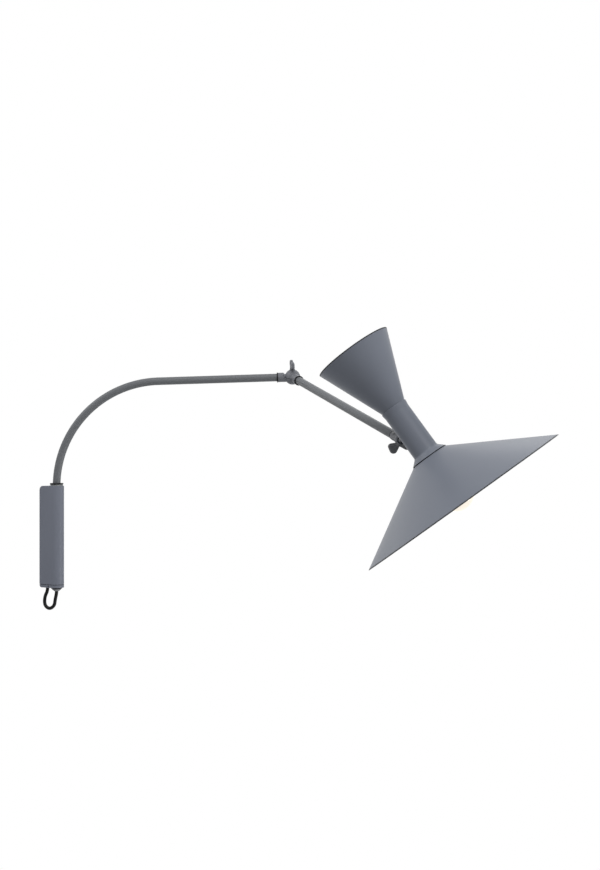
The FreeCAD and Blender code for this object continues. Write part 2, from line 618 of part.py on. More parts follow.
def inner_knuckle():
    part = knuckle(INNER_SLEEVE_END, TUBE_RADIUS + RUNNING_CLEARANCE, KNUCKLE_FLAT).cut(elbow_nut_pocket())
    part = part.cut(sleeve_screw_hole(INNER_SLEEVE_END, 1))
    return placed(part, FLIP_BACK)


def outer_knuckle():
    part = knuckle(OUTER_SLEEVE_END, TUBE_RADIUS, KNUCKLE_SEAT)
    return part.cut(sleeve_screw_hole(OUTER_SLEEVE_END, -1))


# The arm's half of the knuckle looks back along the arm and lies below the joint face
FLIP_BACK = turn(Y_AXIS, 180)


def elbow_nut():
    nut = prism(ELBOW_NUT_FLATS, KNUCKLE_FLAT - ELBOW_NUT_HEIGHT, KNUCKLE_FLAT - 0.2)
    nut = nut.cut(rod(ELBOW_SCREW_RADIUS + RUNNING_CLEARANCE, 0, CUT_REACH))
    return placed(nut, FLIP_BACK)


def friction_disc():
    half = FRICTION_DISC_THICKNESS / 2
    return ring(FRICTION_DISC_RADIUS, ELBOW_SCREW_RADIUS + RUNNING_CLEARANCE, -half, half)


def sleeve_washer(sleeve_end, bore):
    """Black ring at a sleeve's mouth, with rounded edges."""
    end = sleeve_end + WASHER_THICKNESS
    crown = WASHER_RADIUS + 0.15
    return spun([
        (bore, sleeve_end), (WASHER_RADIUS, sleeve_end), (crown, (sleeve_end + end) / 2, WASHER_RADIUS, end),
        (bore, end),
    ], X_AXIS)


def hull(circles):
    """Points of the outline round circles (across, up, radius) that are listed anticlockwise:
    for each circle where the outline meets it, its middle on the circle, and where it leaves."""
    normals = []
    for i, (x, y, radius) in enumerate(circles):
        to_x, to_y, to_radius = circles[(i + 1) % len(circles)]
        distance = hypot(to_x - x, to_y - y)
        normals.append(atan2(to_y - y, to_x - x) - acos((radius - to_radius) / distance))
    stops = []
    for i, (x, y, radius) in enumerate(circles):
        start = normals[i - 1]
        sweep = (normals[i] - start) % (2 * pi)
        stops.append([(x + radius * cos(a), y + radius * sin(a)) for a in (start, start + sweep / 2, start + sweep)])
    return stops


def wing_lobe(circles):
    """One lobe, out along X and up along Z, with chamfered edges."""
    half = WING_THICKNESS / 2
    stops = [[VECTOR(x, -half, z) for x, z in stop] for stop in hull(circles)]
    edges = []
    for i, (start, middle, end) in enumerate(stops):
        edges.append(Part.Arc(start, middle, end).toShape())
        edges.append(Part.makeLine(end, stops[(i + 1) % len(stops)][0]))
    lobe = Part.Face(Part.Wire(edges)).extrude(VECTOR(0, WING_THICKNESS, 0))
    rims = [e for e in lobe.Edges if abs(abs(e.CenterOfMass.y) - half) < 1e-6]
    return lobe.makeChamfer(WING_CHAMFER, rims)


def wing_screw(circles, hub_height, shank_radius, shank_length):
    """Wing screw whose seat is at height 0, with its shank down and its lobes along X."""
    hub = spun([
        (0, -shank_length), (shank_radius - 0.4, -shank_length), (shank_radius, -shank_length + 0.4),
        (shank_radius, 0), (WING_HUB_RADIUS, 0), (WING_HUB_RADIUS - 0.4, hub_height - 1.6),
        (WING_HUB_RADIUS - 1.4, hub_height - 0.5), (WING_HUB_RADIUS - 2.6, hub_height), (0, hub_height),
    ])
    lobe = wing_lobe(circles)
    return fused([hub, lobe, placed(lobe, turn(Z_AXIS, 180))])


# Forearm, in a frame at the elbow's centre with +X along it

def forearm_end():
    return FOREARM_LENGTH - CLAMP_MOUTH_FROM_BALL - WASHER_THICKNESS - FACE_CLEARANCE


def forearm_tube():
    return ring(TUBE_RADIUS, TUBE_RADIUS - TUBE_WALL, SLEEVE_FLOOR, forearm_end(), X_AXIS)


def clamp_spigot():
    """Turned plug in the forearm's end, with the neck and head that the clamp turns on."""
    end = forearm_end()
    head_start = FOREARM_LENGTH - CLAMP_SCREW_FROM_BALL - CLAMP_SCREW_RADIUS - 0.5 - SPIGOT_HEAD_LENGTH
    plug = TUBE_RADIUS - TUBE_WALL
    return spun([
        (STUD_BORE_RADIUS, end - SPIGOT_PLUG_LENGTH), (plug, end - SPIGOT_PLUG_LENGTH), (plug, end),
        (SPIGOT_NECK_RADIUS, end), (SPIGOT_NECK_RADIUS, head_start), (SPIGOT_HEAD_RADIUS, head_start),
        (SPIGOT_HEAD_RADIUS, head_start + SPIGOT_HEAD_LENGTH), (STUD_BORE_RADIUS, head_start + SPIGOT_HEAD_LENGTH),
    ], X_AXIS)


# Clamp, in a frame at the ball's centre with +X towards its open mouth and the wing screw below

def clamp_shell():
    """Outside of the clamp before it is split: a sleeve that swells to a cup round the ball."""
    lip = radians(CLAMP_LIP_ANGLE)
    shoulder = -sqrt(CLAMP_BALL_RADIUS ** 2 - CLAMP_RADIUS ** 2)
    seat = BALL_RADIUS + SEAT_CLEARANCE
    back = -CLAMP_MOUTH_FROM_BALL
    shell = spun([
        (0, back), (CLAMP_RADIUS - 0.5, back), (CLAMP_RADIUS, back + 0.5), (CLAMP_RADIUS, shoulder),
        (CLAMP_BALL_RADIUS, 0, CLAMP_BALL_RADIUS * sin(lip), CLAMP_BALL_RADIUS * cos(lip)),
        (seat * sin(lip), seat * cos(lip)), (seat, 0, 0, -seat),
    ], X_AXIS)
    neck = rod(SPIGOT_NECK_RADIUS + RUNNING_CLEARANCE, back - 1, -CLAMP_SCREW_FROM_BALL, X_AXIS)
    head_end = -CLAMP_SCREW_FROM_BALL - CLAMP_SCREW_RADIUS - 0.3
    head = rod(SPIGOT_HEAD_RADIUS + RUNNING_CLEARANCE, head_end - SPIGOT_HEAD_LENGTH - 0.3, head_end, X_AXIS)
    screw_at = VECTOR(-CLAMP_SCREW_FROM_BALL, 0, 0)
    screw = rod(CLAMP_SCREW_RADIUS + RUNNING_CLEARANCE, -CUT_REACH, CUT_REACH, base=screw_at)
    neck = neck.common(rod(CUT_REACH, back - 1, head_end, X_AXIS))
    shell = shell.cut(neck).cut(head).cut(screw)
    for side in (1, -1):
        flat = rod(WING_HUB_RADIUS + 0.6, CLAMP_FLAT, CUT_REACH, VECTOR(0, 0, side), screw_at)
        shell = shell.cut(flat)
    return shell


def clamp_half(side):
    face = CLAMP_SLOT / 2
    low, high = sorted((side * face, side * CUT_REACH))
    half = clamp_shell().common(box((-CUT_REACH, -CUT_REACH, low), (CUT_REACH, CUT_REACH, high)))
    if side > 0:
        pocket = prism(CLAMP_NUT_FLATS + 0.1, CLAMP_FLAT - CLAMP_NUT_POCKET, CLAMP_FLAT + 5,
                       base=VECTOR(-CLAMP_SCREW_FROM_BALL, 0, 0))
        half = half.cut(pocket)
    return half


def clamp_nut():
    at = VECTOR(-CLAMP_SCREW_FROM_BALL, 0, 0)
    start = CLAMP_FLAT - CLAMP_NUT_POCKET
    nut = prism(CLAMP_NUT_FLATS, start, start + CLAMP_NUT_HEIGHT, base=at)
    return nut.cut(rod(CLAMP_SCREW_RADIUS + RUNNING_CLEARANCE, 0, CUT_REACH, base=at))


def clamp_washer():
    back = -CLAMP_MOUTH_FROM_BALL
    low = back - WASHER_THICKNESS
    crown = CLAMP_WASHER_RADIUS + 0.15
    bore = SPIGOT_NECK_RADIUS + RUNNING_CLEARANCE
    return spun([
        (bore, low), (CLAMP_WASHER_RADIUS, low), (crown, (low + back) / 2, CLAMP_WASHER_RADIUS, back),
        (bore, back),
    ], X_AXIS)


def clamp_wing():
    """Wing screw below the clamp, with its shank up through both halves and the nut."""
    seat = CLAMP_FLAT + FACE_CLEARANCE
    shank_length = seat + CLAMP_FLAT + CLAMP_NUT_HEIGHT - CLAMP_NUT_POCKET
    screw = wing_screw(CLAMP_WING_LOBE, CLAMP_WING_HUB, CLAMP_SCREW_RADIUS, shank_length)
    below = shift(-CLAMP_SCREW_FROM_BALL, 0, -seat) * turn(Z_AXIS, CLAMP_WING_TURN) * turn(X_AXIS, 180)
    return placed(screw, below)


# Ball stud, in a frame at the ball's centre with +X towards the head

def ball_stud():
    flange_end = STUD_FLANGE_START + STUD_FLANGE_THICKNESS
    join = sqrt(BALL_RADIUS ** 2 - STUD_NECK_RADIUS ** 2)
    tip = stud_nut_start() + STUD_NUT_HEIGHT + 1.5
    back = sqrt(BALL_RADIUS ** 2 - STUD_BORE_RADIUS ** 2)
    return spun([
        (STUD_BORE_RADIUS, -back), (BALL_RADIUS, 0, STUD_NECK_RADIUS, join),
        (STUD_NECK_RADIUS, STUD_FLANGE_START), (STUD_FLANGE_RADIUS, STUD_FLANGE_START),
        (STUD_FLANGE_RADIUS, flange_end), (STUD_SHANK_RADIUS, flange_end), (STUD_SHANK_RADIUS, tip - 0.6),
        (STUD_SHANK_RADIUS - 0.6, tip), (STUD_BORE_RADIUS, tip),
    ], X_AXIS)


def stud_nut_start():
    """Face of the nut on the head's inner saddle, measured from the ball's centre."""
    return HEAD_OFFSET - HEAD_RADIUS + HEAD_WALL + INNER_SADDLE_THICKNESS + FACE_CLEARANCE


def stud_nut():
    start = stud_nut_start()
    nut = prism(STUD_NUT_FLATS, start, start + STUD_NUT_HEIGHT, X_AXIS)
    return nut.cut(rod(STUD_SHANK_RADIUS, start - 1, start + STUD_NUT_HEIGHT + 1, X_AXIS))


# Head, in a frame on its axis at the stud's height, +Z up the axis, the ball on the -X side

def head_body():
    """Spun tube: flared lip for the upper cone, straight barrel, flared foot for the lower cone."""
    inner = HEAD_RADIUS - HEAD_WALL
    flare_top = NECK_HEIGHT + NECK_FLARE_HEIGHT
    run = NECK_RADIUS - HEAD_RADIUS
    slope = hypot(run, NECK_FLARE_HEIGHT)
    # the fillet between barrel and flare turns by this angle, and is tangent to both
    bend = asin(run / slope)
    tangent = NECK_FLARE_FILLET * tan(bend / 2)
    middle_r = HEAD_RADIUS + NECK_FLARE_FILLET * (1 - cos(bend / 2))
    middle_z = flare_top + tangent - NECK_FLARE_FILLET * sin(bend / 2)
    after_r = HEAD_RADIUS + tangent * sin(bend)
    after_z = flare_top - tangent * cos(bend)
    lip_foot = SEAM_HEIGHT - SEAM_LIP_HEIGHT
    floor = NECK_HEIGHT + HEAD_WALL
    foot_in = NECK_RADIUS - HEAD_WALL * slope / NECK_FLARE_HEIGHT - HEAD_WALL * run / NECK_FLARE_HEIGHT
    hole = HOLDER_SKIRT_RADIUS + HOLDER_CLEARANCE
    body = spun([
        (SEAM_LIP_RADIUS - HEAD_WALL, SEAM_HEIGHT), (SEAM_LIP_RADIUS, SEAM_HEIGHT),
        (HEAD_RADIUS, lip_foot), (HEAD_RADIUS, flare_top + tangent),
        (middle_r, middle_z, after_r, after_z),
        (NECK_RADIUS, NECK_HEIGHT), (hole, NECK_HEIGHT), (hole, floor),
        (foot_in, floor), (inner, flare_top + HEAD_WALL * 0.4), (inner, lip_foot),
    ])
    return body.cut(rod(STUD_SHANK_RADIUS + RUNNING_CLEARANCE, 0, HEAD_RADIUS + 5, VECTOR(-1, 0, 0)))


def upper_cone():
    """Narrow cone that nests in the body's lip, with a floor that the lampholder clamps."""
    floor = SEAM_HEIGHT - SEAM_LIP_HEIGHT + BRIDGE_THICKNESS
    lip_slope = (SEAM_LIP_RADIUS - HEAD_RADIUS) / SEAM_LIP_HEIGHT
    seam_radius = SEAM_LIP_RADIUS - HEAD_WALL - NEST_CLEARANCE
    floor_radius = seam_radius - lip_slope * (SEAM_HEIGHT - floor)
    slope = (UPPER_MOUTH_RADIUS - seam_radius) / (UPPER_MOUTH_HEIGHT - SEAM_HEIGHT)
    step = CONE_WALL * sqrt(1 + slope ** 2)
    hole = HOLDER_SKIRT_RADIUS + HOLDER_CLEARANCE
    cone = spun([
        (hole, floor), (floor_radius, floor), (seam_radius, SEAM_HEIGHT),
        (UPPER_MOUTH_RADIUS, UPPER_MOUTH_HEIGHT), (UPPER_MOUTH_RADIUS - step, UPPER_MOUTH_HEIGHT),
        (seam_radius - step, SEAM_HEIGHT), (floor_radius - CONE_WALL, floor + CONE_WALL), (hole, floor + CONE_WALL),
    ])
    return cone


def lower_cone():
    """Wide cone with a flat top that the lampholder's ring clamps against the body's foot."""
    top = NECK_HEIGHT - GASKET_THICKNESS
    slope = (LOWER_RIM_RADIUS - CONE_NECK_RADIUS) / (top - LOWER_RIM_HEIGHT)
    drop = CONE_WALL * sqrt(1 + 1 / slope ** 2)
    step = drop * slope
    hole = HOLDER_SKIRT_RADIUS + HOLDER_CLEARANCE
    corner = CONE_NECK_RADIUS - (drop - CONE_WALL) * slope
    return spun([
        (hole, top), (CONE_NECK_RADIUS, top), (LOWER_RIM_RADIUS, LOWER_RIM_HEIGHT),
        (LOWER_RIM_RADIUS - step, LOWER_RIM_HEIGHT), (corner, top - CONE_WALL), (hole, top - CONE_WALL),
    ])


def neck_gasket():
    return ring(NECK_RADIUS + GASKET_PROUD, HOLDER_SKIRT_RADIUS + HOLDER_CLEARANCE,
                NECK_HEIGHT - GASKET_THICKNESS, NECK_HEIGHT)


def stud_saddle():
    face = HEAD_OFFSET - BOSS_FROM_BALL
    saddle = spun([
        (0, 0), (SADDLE_FOOT_RADIUS, 0), (SADDLE_FOOT_RADIUS, HEAD_RADIUS - 2.0),
        (SADDLE_RADIUS, face - 0.5), (SADDLE_RADIUS - 0.5, face), (0, face),
    ], VECTOR(-1, 0, 0))
    saddle = saddle.cut(rod(HEAD_RADIUS, -CUT_REACH, CUT_REACH))
    return saddle.cut(rod(STUD_SHANK_RADIUS + RUNNING_CLEARANCE, 0, CUT_REACH, VECTOR(-1, 0, 0)))


def inner_saddle():
    inner = HEAD_RADIUS - HEAD_WALL
    saddle = rod(INNER_SADDLE_RADIUS, inner - INNER_SADDLE_THICKNESS, inner, VECTOR(-1, 0, 0))
    saddle = saddle.common(rod(inner, -CUT_REACH, CUT_REACH))
    return saddle.cut(rod(STUD_SHANK_RADIUS + RUNNING_CLEARANCE, 0, CUT_REACH, VECTOR(-1, 0, 0)))


def lampholder():
    """Lampholder standing on its shoulder at height 0, with its base below and its skirt above."""
    cavity_floor = HOLDER_SKIRT_LENGTH - HOLDER_CAVITY_DEPTH
    return spun([
        (0, -HOLDER_BASE_LENGTH), (HOLDER_BASE_RADIUS - 3, -HOLDER_BASE_LENGTH),
        (HOLDER_BASE_RADIUS - 0.9, -HOLDER_BASE_LENGTH + 0.9, HOLDER_BASE_RADIUS, -HOLDER_BASE_LENGTH + 3),
        (HOLDER_BASE_RADIUS, -HOLDER_SHOULDER_THICKNESS),
        (HOLDER_SHOULDER_RADIUS, -HOLDER_SHOULDER_THICKNESS), (HOLDER_SHOULDER_RADIUS, 0),
        (HOLDER_SKIRT_RADIUS, 0), (HOLDER_SKIRT_RADIUS, HOLDER_SKIRT_LENGTH),
        (HOLDER_CAVITY_RADIUS, HOLDER_SKIRT_LENGTH), (HOLDER_CAVITY_RADIUS, cavity_floor), (0, cavity_floor),
    ])


def shade_ring(clamped):
    """Ring that screws up the skirt and clamps what lies between it and the shoulder."""
    ring_body = ring(SHADE_RING_RADIUS, HOLDER_SKIRT_RADIUS, clamped, clamped + SHADE_RING_HEIGHT)
    for i in range(SHADE_RING_GRIPS):
        angle = 2 * pi * i / SHADE_RING_GRIPS
        at = VECTOR(SHADE_RING_RADIUS * cos(angle), SHADE_RING_RADIUS * sin(angle), 0)
        ring_body = ring_body.cut(rod(0.9, clamped + 1.0, clamped + SHADE_RING_HEIGHT + 1, base=at))
    return ring_body


def bulb_tip():
    return HOLDER_SKIRT_LENGTH - BULB_IN_HOLDER + BULB_LENGTH


def bulb():
    """Round bulb: a globe drawn down to a neck that sits on its cap."""
    centre = bulb_tip() - BULB_RADIUS
    cap_top = HOLDER_SKIRT_LENGTH - BULB_IN_HOLDER + BULB_CAP_LENGTH
    leave = radians(52)
    leave_r = BULB_RADIUS * sin(leave)
    leave_z = centre - BULB_RADIUS * cos(leave)
    waist_r = BULB_NECK_RADIUS + (leave_r - BULB_NECK_RADIUS) * 0.34
    waist_z = cap_top + (leave_z - cap_top) * 0.52
    return spun([
        (0, cap_top), (BULB_NECK_RADIUS, cap_top), (waist_r, waist_z, leave_r, leave_z),
        (BULB_RADIUS, centre, 0, bulb_tip()),
    ])


def bulb_cap():
    foot = HOLDER_SKIRT_LENGTH - BULB_IN_HOLDER
    top = foot + BULB_CAP_LENGTH
    return spun([
        (0, foot), (2.4, foot), (3.0, foot + 1.5), (BULB_CAP_RADIUS, foot + 4.0), (BULB_CAP_RADIUS, top - 3.0),
        (BULB_NECK_RADIUS, top - 2.0), (BULB_NECK_RADIUS, top), (0, top),
    ])


def upper_bridge():
    """Disc that closes the barrel under the upper cone and carries its lampholder."""
    top = SEAM_HEIGHT - SEAM_LIP_HEIGHT + BRIDGE_THICKNESS
    return ring(HEAD_RADIUS - HEAD_WALL, HOLDER_SKIRT_RADIUS + HOLDER_CLEARANCE, top - BRIDGE_THICKNESS, top)


UPPER_SHOULDER = SEAM_HEIGHT - SEAM_LIP_HEIGHT
LOWER_SHOULDER = NECK_HEIGHT + HEAD_WALL
AT_UPPER_HOLDER = AT_HEAD * shift(0, 0, UPPER_SHOULDER)
AT_LOWER_HOLDER = AT_HEAD * shift(0, 0, LOWER_SHOULDER) * turn(X_AXIS, 180)
UPPER_CLAMPED = BRIDGE_THICKNESS + CONE_WALL
LOWER_CLAMPED = HEAD_WALL + GASKET_THICKNESS + CONE_WALL


def everything():
    """Every node of the lamp, with the frame that places it."""
    elbow_seat = KNUCKLE_SEAT + FACE_CLEARANCE
    elbow_shank = elbow_seat + KNUCKLE_FLAT - 0.6
    elbow_wing = wing_screw(ELBOW_WING_LOBE, ELBOW_WING_HUB, ELBOW_SCREW_RADIUS, elbow_shank)
    elbow_wing_at = AT_FOREARM * shift(0, 0, elbow_seat) * turn(Z_AXIS, ELBOW_WING_TURN)
    return {
        "wall_plate": (wall_plate(), AT_ROW),
        "bracket_body": (bracket_body(), AT_ROW),
        "bottom_cap": (bottom_cap(), AT_ROW),
        "cap_screw": (cap_screw(), AT_ROW),
        "cap_side_screws": (side_screws(), AT_ROW),
        "top_collar": (top_collar(), AT_ROW),
        "upper_bush": (upper_bush(), AT_ROW),
        "lower_bush": (lower_bush(), AT_ROW),
        "cord_grommet": (cord_grommet(), AT_ROW),
        "terminal_block": (terminal_block(), AT_ROW),
        "terminal_screws": (terminal_screws(), AT_ROW),
        "cord_loop": (cord_loop(), AT_ROW),
        "arm_tube": (arm_tube(), AT_ARM),
        "retaining_collar": (retaining_collar(), AT_ARM),
        "retaining_screw": (retaining_screw(), AT_ARM),
        "cord_gland": (cord_gland(), AT_ARM),
        "elbow_inner_knuckle": (inner_knuckle(), AT_ELBOW),
        "elbow_inner_washer": (placed(sleeve_washer(INNER_SLEEVE_END, TUBE_RADIUS + RUNNING_CLEARANCE),
                                      FLIP_BACK), AT_ELBOW),
        "elbow_inner_screw": (placed(sleeve_screw(INNER_SLEEVE_END, 1, TUBE_RADIUS - GROOVE_DEPTH + 0.15),
                                     FLIP_BACK), AT_ELBOW),
        "elbow_nut": (elbow_nut(), AT_ELBOW),
        "elbow_friction_disc": (friction_disc(), AT_ELBOW),
        "elbow_outer_knuckle": (outer_knuckle(), AT_FOREARM),
        "elbow_outer_washer": (sleeve_washer(OUTER_SLEEVE_END, TUBE_RADIUS), AT_FOREARM),
        "elbow_outer_screw": (sleeve_screw(OUTER_SLEEVE_END, -1, TUBE_RADIUS + 0.1), AT_FOREARM),
        "forearm_tube": (forearm_tube(), AT_FOREARM),
        "clamp_spigot": (clamp_spigot(), AT_FOREARM),
        "elbow_wing_screw": (elbow_wing, elbow_wing_at),
        "clamp_upper_half": (clamp_half(1), AT_CLAMP),
        "clamp_lower_half": (clamp_half(-1), AT_CLAMP),
        "clamp_washer": (clamp_washer(), AT_CLAMP),
        "clamp_nut": (clamp_nut(), AT_CLAMP),
        "clamp_wing_screw": (clamp_wing(), AT_CLAMP),
        "ball_stud": (ball_stud(), AT_STUD),
        "stud_nut": (stud_nut(), AT_STUD),
        "head_body": (head_body(), AT_HEAD),
        "upper_cone": (upper_cone(), AT_HEAD),
        "lower_cone": (lower_cone(), AT_HEAD),
        "neck_gasket": (neck_gasket(), AT_HEAD),
        "stud_saddle": (stud_saddle(), AT_HEAD),
        "inner_saddle": (inner_saddle(), AT_HEAD),
        "upper_bridge": (upper_bridge(), AT_HEAD),
        "upper_lampholder": (lampholder(), AT_UPPER_HOLDER),
        "upper_shade_ring": (shade_ring(UPPER_CLAMPED), AT_UPPER_HOLDER),
        "upper_bulb": (bulb(), AT_UPPER_HOLDER),
        "upper_bulb_cap": (bulb_cap(), AT_UPPER_HOLDER),
        "lower_lampholder": (lampholder(), AT_LOWER_HOLDER),
        "lower_shade_ring": (shade_ring(LOWER_CLAMPED), AT_LOWER_HOLDER),
        "lower_bulb": (bulb(), AT_LOWER_HOLDER),
        "lower_bulb_cap": (bulb_cap(), AT_LOWER_HOLDER),
    }


def main():
    os.makedirs("parts", exist_ok=True)
    for node, (shape, frame) in everything().items():
        solid = placed(shape, frame)
        if not solid.isValid() or not solid.Solids:
            print("BAD SHAPE", node)
        solid.exportStep("parts/" + node + ".step")
        print(node, len(solid.Solids), "solid(s),", round(solid.Volume / 1000, 2), "cm3")


main()
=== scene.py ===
# %% [markdown]
# # An articulating wall lamp, dressed in Blender
#
# The lamp has a narrow bracket on the wall, a bent tube that swivels in it, a ball knuckle with a wing
# screw, a straight forearm, and a head with a wide cone below and a narrow cone above.
#
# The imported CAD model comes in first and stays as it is. It gives every piece its place and its motion.
# Around it, this notebook makes the visible pieces again with softer edges and finer curves, and gives
# every other piece its finish. A piece is modelled in millimetres and scaled to metres in its place.

from math import acos, asin, atan2, cos, degrees, pi, radians, sin, sqrt, tan

import bmesh
import bpy
from mathutils import Matrix, Vector


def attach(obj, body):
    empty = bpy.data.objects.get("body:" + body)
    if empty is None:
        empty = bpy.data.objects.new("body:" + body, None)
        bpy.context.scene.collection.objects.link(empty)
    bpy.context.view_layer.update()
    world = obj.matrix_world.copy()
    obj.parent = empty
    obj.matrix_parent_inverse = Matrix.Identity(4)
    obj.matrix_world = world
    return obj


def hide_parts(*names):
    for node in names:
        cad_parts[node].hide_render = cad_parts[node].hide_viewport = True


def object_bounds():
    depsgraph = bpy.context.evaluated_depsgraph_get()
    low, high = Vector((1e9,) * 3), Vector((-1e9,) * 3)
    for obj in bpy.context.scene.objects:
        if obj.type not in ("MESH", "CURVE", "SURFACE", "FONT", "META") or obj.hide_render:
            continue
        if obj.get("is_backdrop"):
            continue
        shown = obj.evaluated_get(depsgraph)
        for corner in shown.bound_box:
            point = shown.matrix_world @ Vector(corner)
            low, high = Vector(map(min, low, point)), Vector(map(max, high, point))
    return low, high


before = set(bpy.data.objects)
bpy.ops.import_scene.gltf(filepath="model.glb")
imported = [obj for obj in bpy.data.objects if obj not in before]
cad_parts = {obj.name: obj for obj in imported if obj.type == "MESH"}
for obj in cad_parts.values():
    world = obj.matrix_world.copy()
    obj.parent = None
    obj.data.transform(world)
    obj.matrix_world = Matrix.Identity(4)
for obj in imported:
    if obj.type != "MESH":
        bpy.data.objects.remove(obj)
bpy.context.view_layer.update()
MM = 0.001

# %% [markdown]
# ## Camera
#
# The photograph was taken level, with the arm's plane 30 degrees off. A camera could be placed by eye,
# but here its place and its lens come from the ellipses of the head's rims, so every piece falls where
# the photograph has it. The picture is higher than it is wide, so the sensor's width lies along its height.

# %% Camera
PHOTO_HEIGHT_PIXELS = 870
FOCAL_LENGTH_PIXELS = 1280.0
SENSOR_WIDTH = 36.0
CAMERA_PLACE = Vector((1.3543, -1.5419, 0.1586))
CAMERA_LOOKS = Vector((-0.5, 0.8660254, 0.0))

camera_data = bpy.data.cameras.new("Camera")
camera_data.sensor_width = SENSOR_WIDTH
camera_data.lens = SENSOR_WIDTH * FOCAL_LENGTH_PIXELS / PHOTO_HEIGHT_PIXELS
camera = bpy.data.objects.new("Camera", camera_data)
bpy.context.scene.collection.objects.link(camera)
camera.location = CAMERA_PLACE
camera.rotation_euler = CAMERA_LOOKS.to_track_quat("-Z", "Y").to_euler()
bpy.context.scene.camera = camera
print("lens", round(camera_data.lens, 2), "mm")

# %% [markdown]
# ## Shader maths
#
# A finish is a small graph of nodes. Wiring each node by hand hides the idea, so a thin class wraps a
# socket and lets an expression such as `0.4 + 0.1 * grain` add its Math nodes. Every other node comes
# from one method, which takes the node's type, its settings and what its sockets get.

# %% A material is written as expressions
class Wire:
    """One output socket of a finish, which can be added and multiplied."""

    def __init__(self, finish, socket):
        self.finish = finish
        self.socket = socket

    def maths(self, operation, first, second):
        return self.finish.node("ShaderNodeMath", {"operation": operation}, {0: first, 1: second})

    def __add__(self, other):
        return self.maths("ADD", self, other)

    def __mul__(self, other):
        return self.maths("MULTIPLY", self, other)

    __radd__ = __add__
    __rmul__ = __mul__


class Finish:
    """A material whose shader gets its values from expressions."""

    def __init__(self, name, **constants):
        self.material = bpy.data.materials.new(name)
        self.material.use_nodes = True
        self.tree = self.material.node_tree
        self.shader = self.tree.nodes["Principled BSDF"]
        for socket, value in constants.items():
            self.shader.inputs[socket.replace("_", " ")].default_value = value

    def feed(self, socket, value):
        if isinstance(value, Wire):
            self.tree.links.new(value.socket, socket)
        else:
            socket.default_value = value

    def node(self, kind, settings, sockets, output=0):
        made = self.tree.nodes.new(kind)
        for setting, value in settings.items():
            setattr(made, setting, value)
        for socket, value in sockets.items():
            self.feed(made.inputs[socket], value)
        return Wire(self, made.outputs[output])

    def place(self):
        return self.node("ShaderNodeTexCoord", {}, {}, "Object")

    def noise(self, scale, detail=2.0):
        return self.node("ShaderNodeTexNoise", {}, {"Vector": self.place(), "Scale": scale, "Detail": detail})

    def blend(self, factor, first, second):
        return self.node("ShaderNodeMix", {"data_type": "RGBA"}, {0: factor, 6: first, 7: second}, 2)

    def around(self, colour, factor, contrast):
        """Blends from a little darker than the colour to a little lighter."""
        dark, light = ((*(c * (1 + part) for c in colour), 1) for part in (-contrast, contrast))
        return self.blend(factor, dark, light)

    def bump(self, height, distance, strength):
        return self.node("ShaderNodeBump", {}, {"Height": height, "Distance": distance, "Strength": strength})

    def wear(self, **sockets):
        for socket, value in sockets.items():
            self.feed(self.shader.inputs[socket.replace("_", " ")], value)
        return self.material


def made(*finishes):
    print("made", ", ".join(finish.name for finish in finishes))


print("shader helpers ready")

# %% [markdown]
# ## Enamel on the metal
#
# All painted metal has a stoved satin enamel, blue-grey on the bracket and the head and more neutral on
# the tubes. Close up, such enamel is not flat: it has an orange-peel ripple of about a millimetre, a very
# fine grain that makes it satin, and slow changes of tone where the coat is thicker. A single colour
# would look like plastic, so three noises at those three scales share the work. A near-black enamel is
# painted shade: on each cone's rim it paints the thin dark outline of a rim seen edge-on, and in the seam
# of the bracket's cap it paints the shade of the groove.

# %% Satin enamel
CLOUD_SCALE = 17.0
RIPPLE_SCALE = 620.0
GRAIN_SCALE = 5200.0
CONTRAST = 0.06


def satin_enamel(name, colour, roughness):
    finish = Finish(name, Specular_IOR_Level=0.16)
    cloud = finish.noise(CLOUD_SCALE, 3.0)
    ripple = finish.noise(RIPPLE_SCALE, 2.0)
    grain = finish.noise(GRAIN_SCALE, 1.0)
    tone = 0.75 * cloud + 0.1 * ripple + 0.15 * grain
    return finish.wear(
        Base_Color=finish.around(colour, tone, CONTRAST),
        Roughness=roughness - 0.06 + 0.08 * cloud + 0.04 * grain,
        Normal=finish.bump(0.75 * ripple + 0.25 * grain, 0.00002, 0.15),
    )


bracket_paint = satin_enamel("BracketPaint", (0.168, 0.181, 0.219), 0.40)
arm_paint = satin_enamel("ArmPaint", (0.148, 0.155, 0.165), 0.40)
joint_paint = satin_enamel("JointPaint", (0.168, 0.174, 0.192), 0.44)
head_paint = satin_enamel("HeadPaint", (0.176, 0.192, 0.228), 0.38)
wing_black = satin_enamel("BlackMetal", (0.200, 0.203, 0.210), 0.40)
# near-black painted shade for the dark outline of the cones' rims and for the cap's seam groove
painted_rim_and_seam_shade = satin_enamel("RimPrimer", (0.032, 0.034, 0.038), 0.55)
# near-black painted shade for the cap's side screws, standing for the shade of their shallow holes
screw_painted_shade = satin_enamel("ScrewBlack", (0.010, 0.010, 0.011), 0.55)
made(bracket_paint, arm_paint, joint_paint, head_paint, wing_black, painted_rim_and_seam_shade, screw_painted_shade)

# %% [markdown]
# White enamel lines both cones, as it does on most lamps, because it throws the light out. It is glossier
# than the outside, and the heat and dust of use have left faint clouds on it.

# %% White enamel inside the cones
def white_enamel():
    finish = Finish("ConeLining", Specular_IOR_Level=0.5)
    cloud = finish.noise(24.0, 4.0)
    ripple = finish.noise(700.0, 2.0)
    return finish.wear(
        Base_Color=finish.blend(cloud, (0.74, 0.73, 0.70, 1), (0.82, 0.81, 0.79, 1)),
        Roughness=0.3 + 0.12 * cloud,
        Normal=finish.bump(ripple, 0.00003, 0.3),
    )


cone_lining = white_enamel()
made(cone_lining)

# %% [markdown]
# ## Plastics and rubber
#
# Bushes, rings and lampholders are moulded in matt plastic, whose skin has a fine spark-eroded texture.
# The cord has a dull rubber sheath, a little greyer where it has been handled.

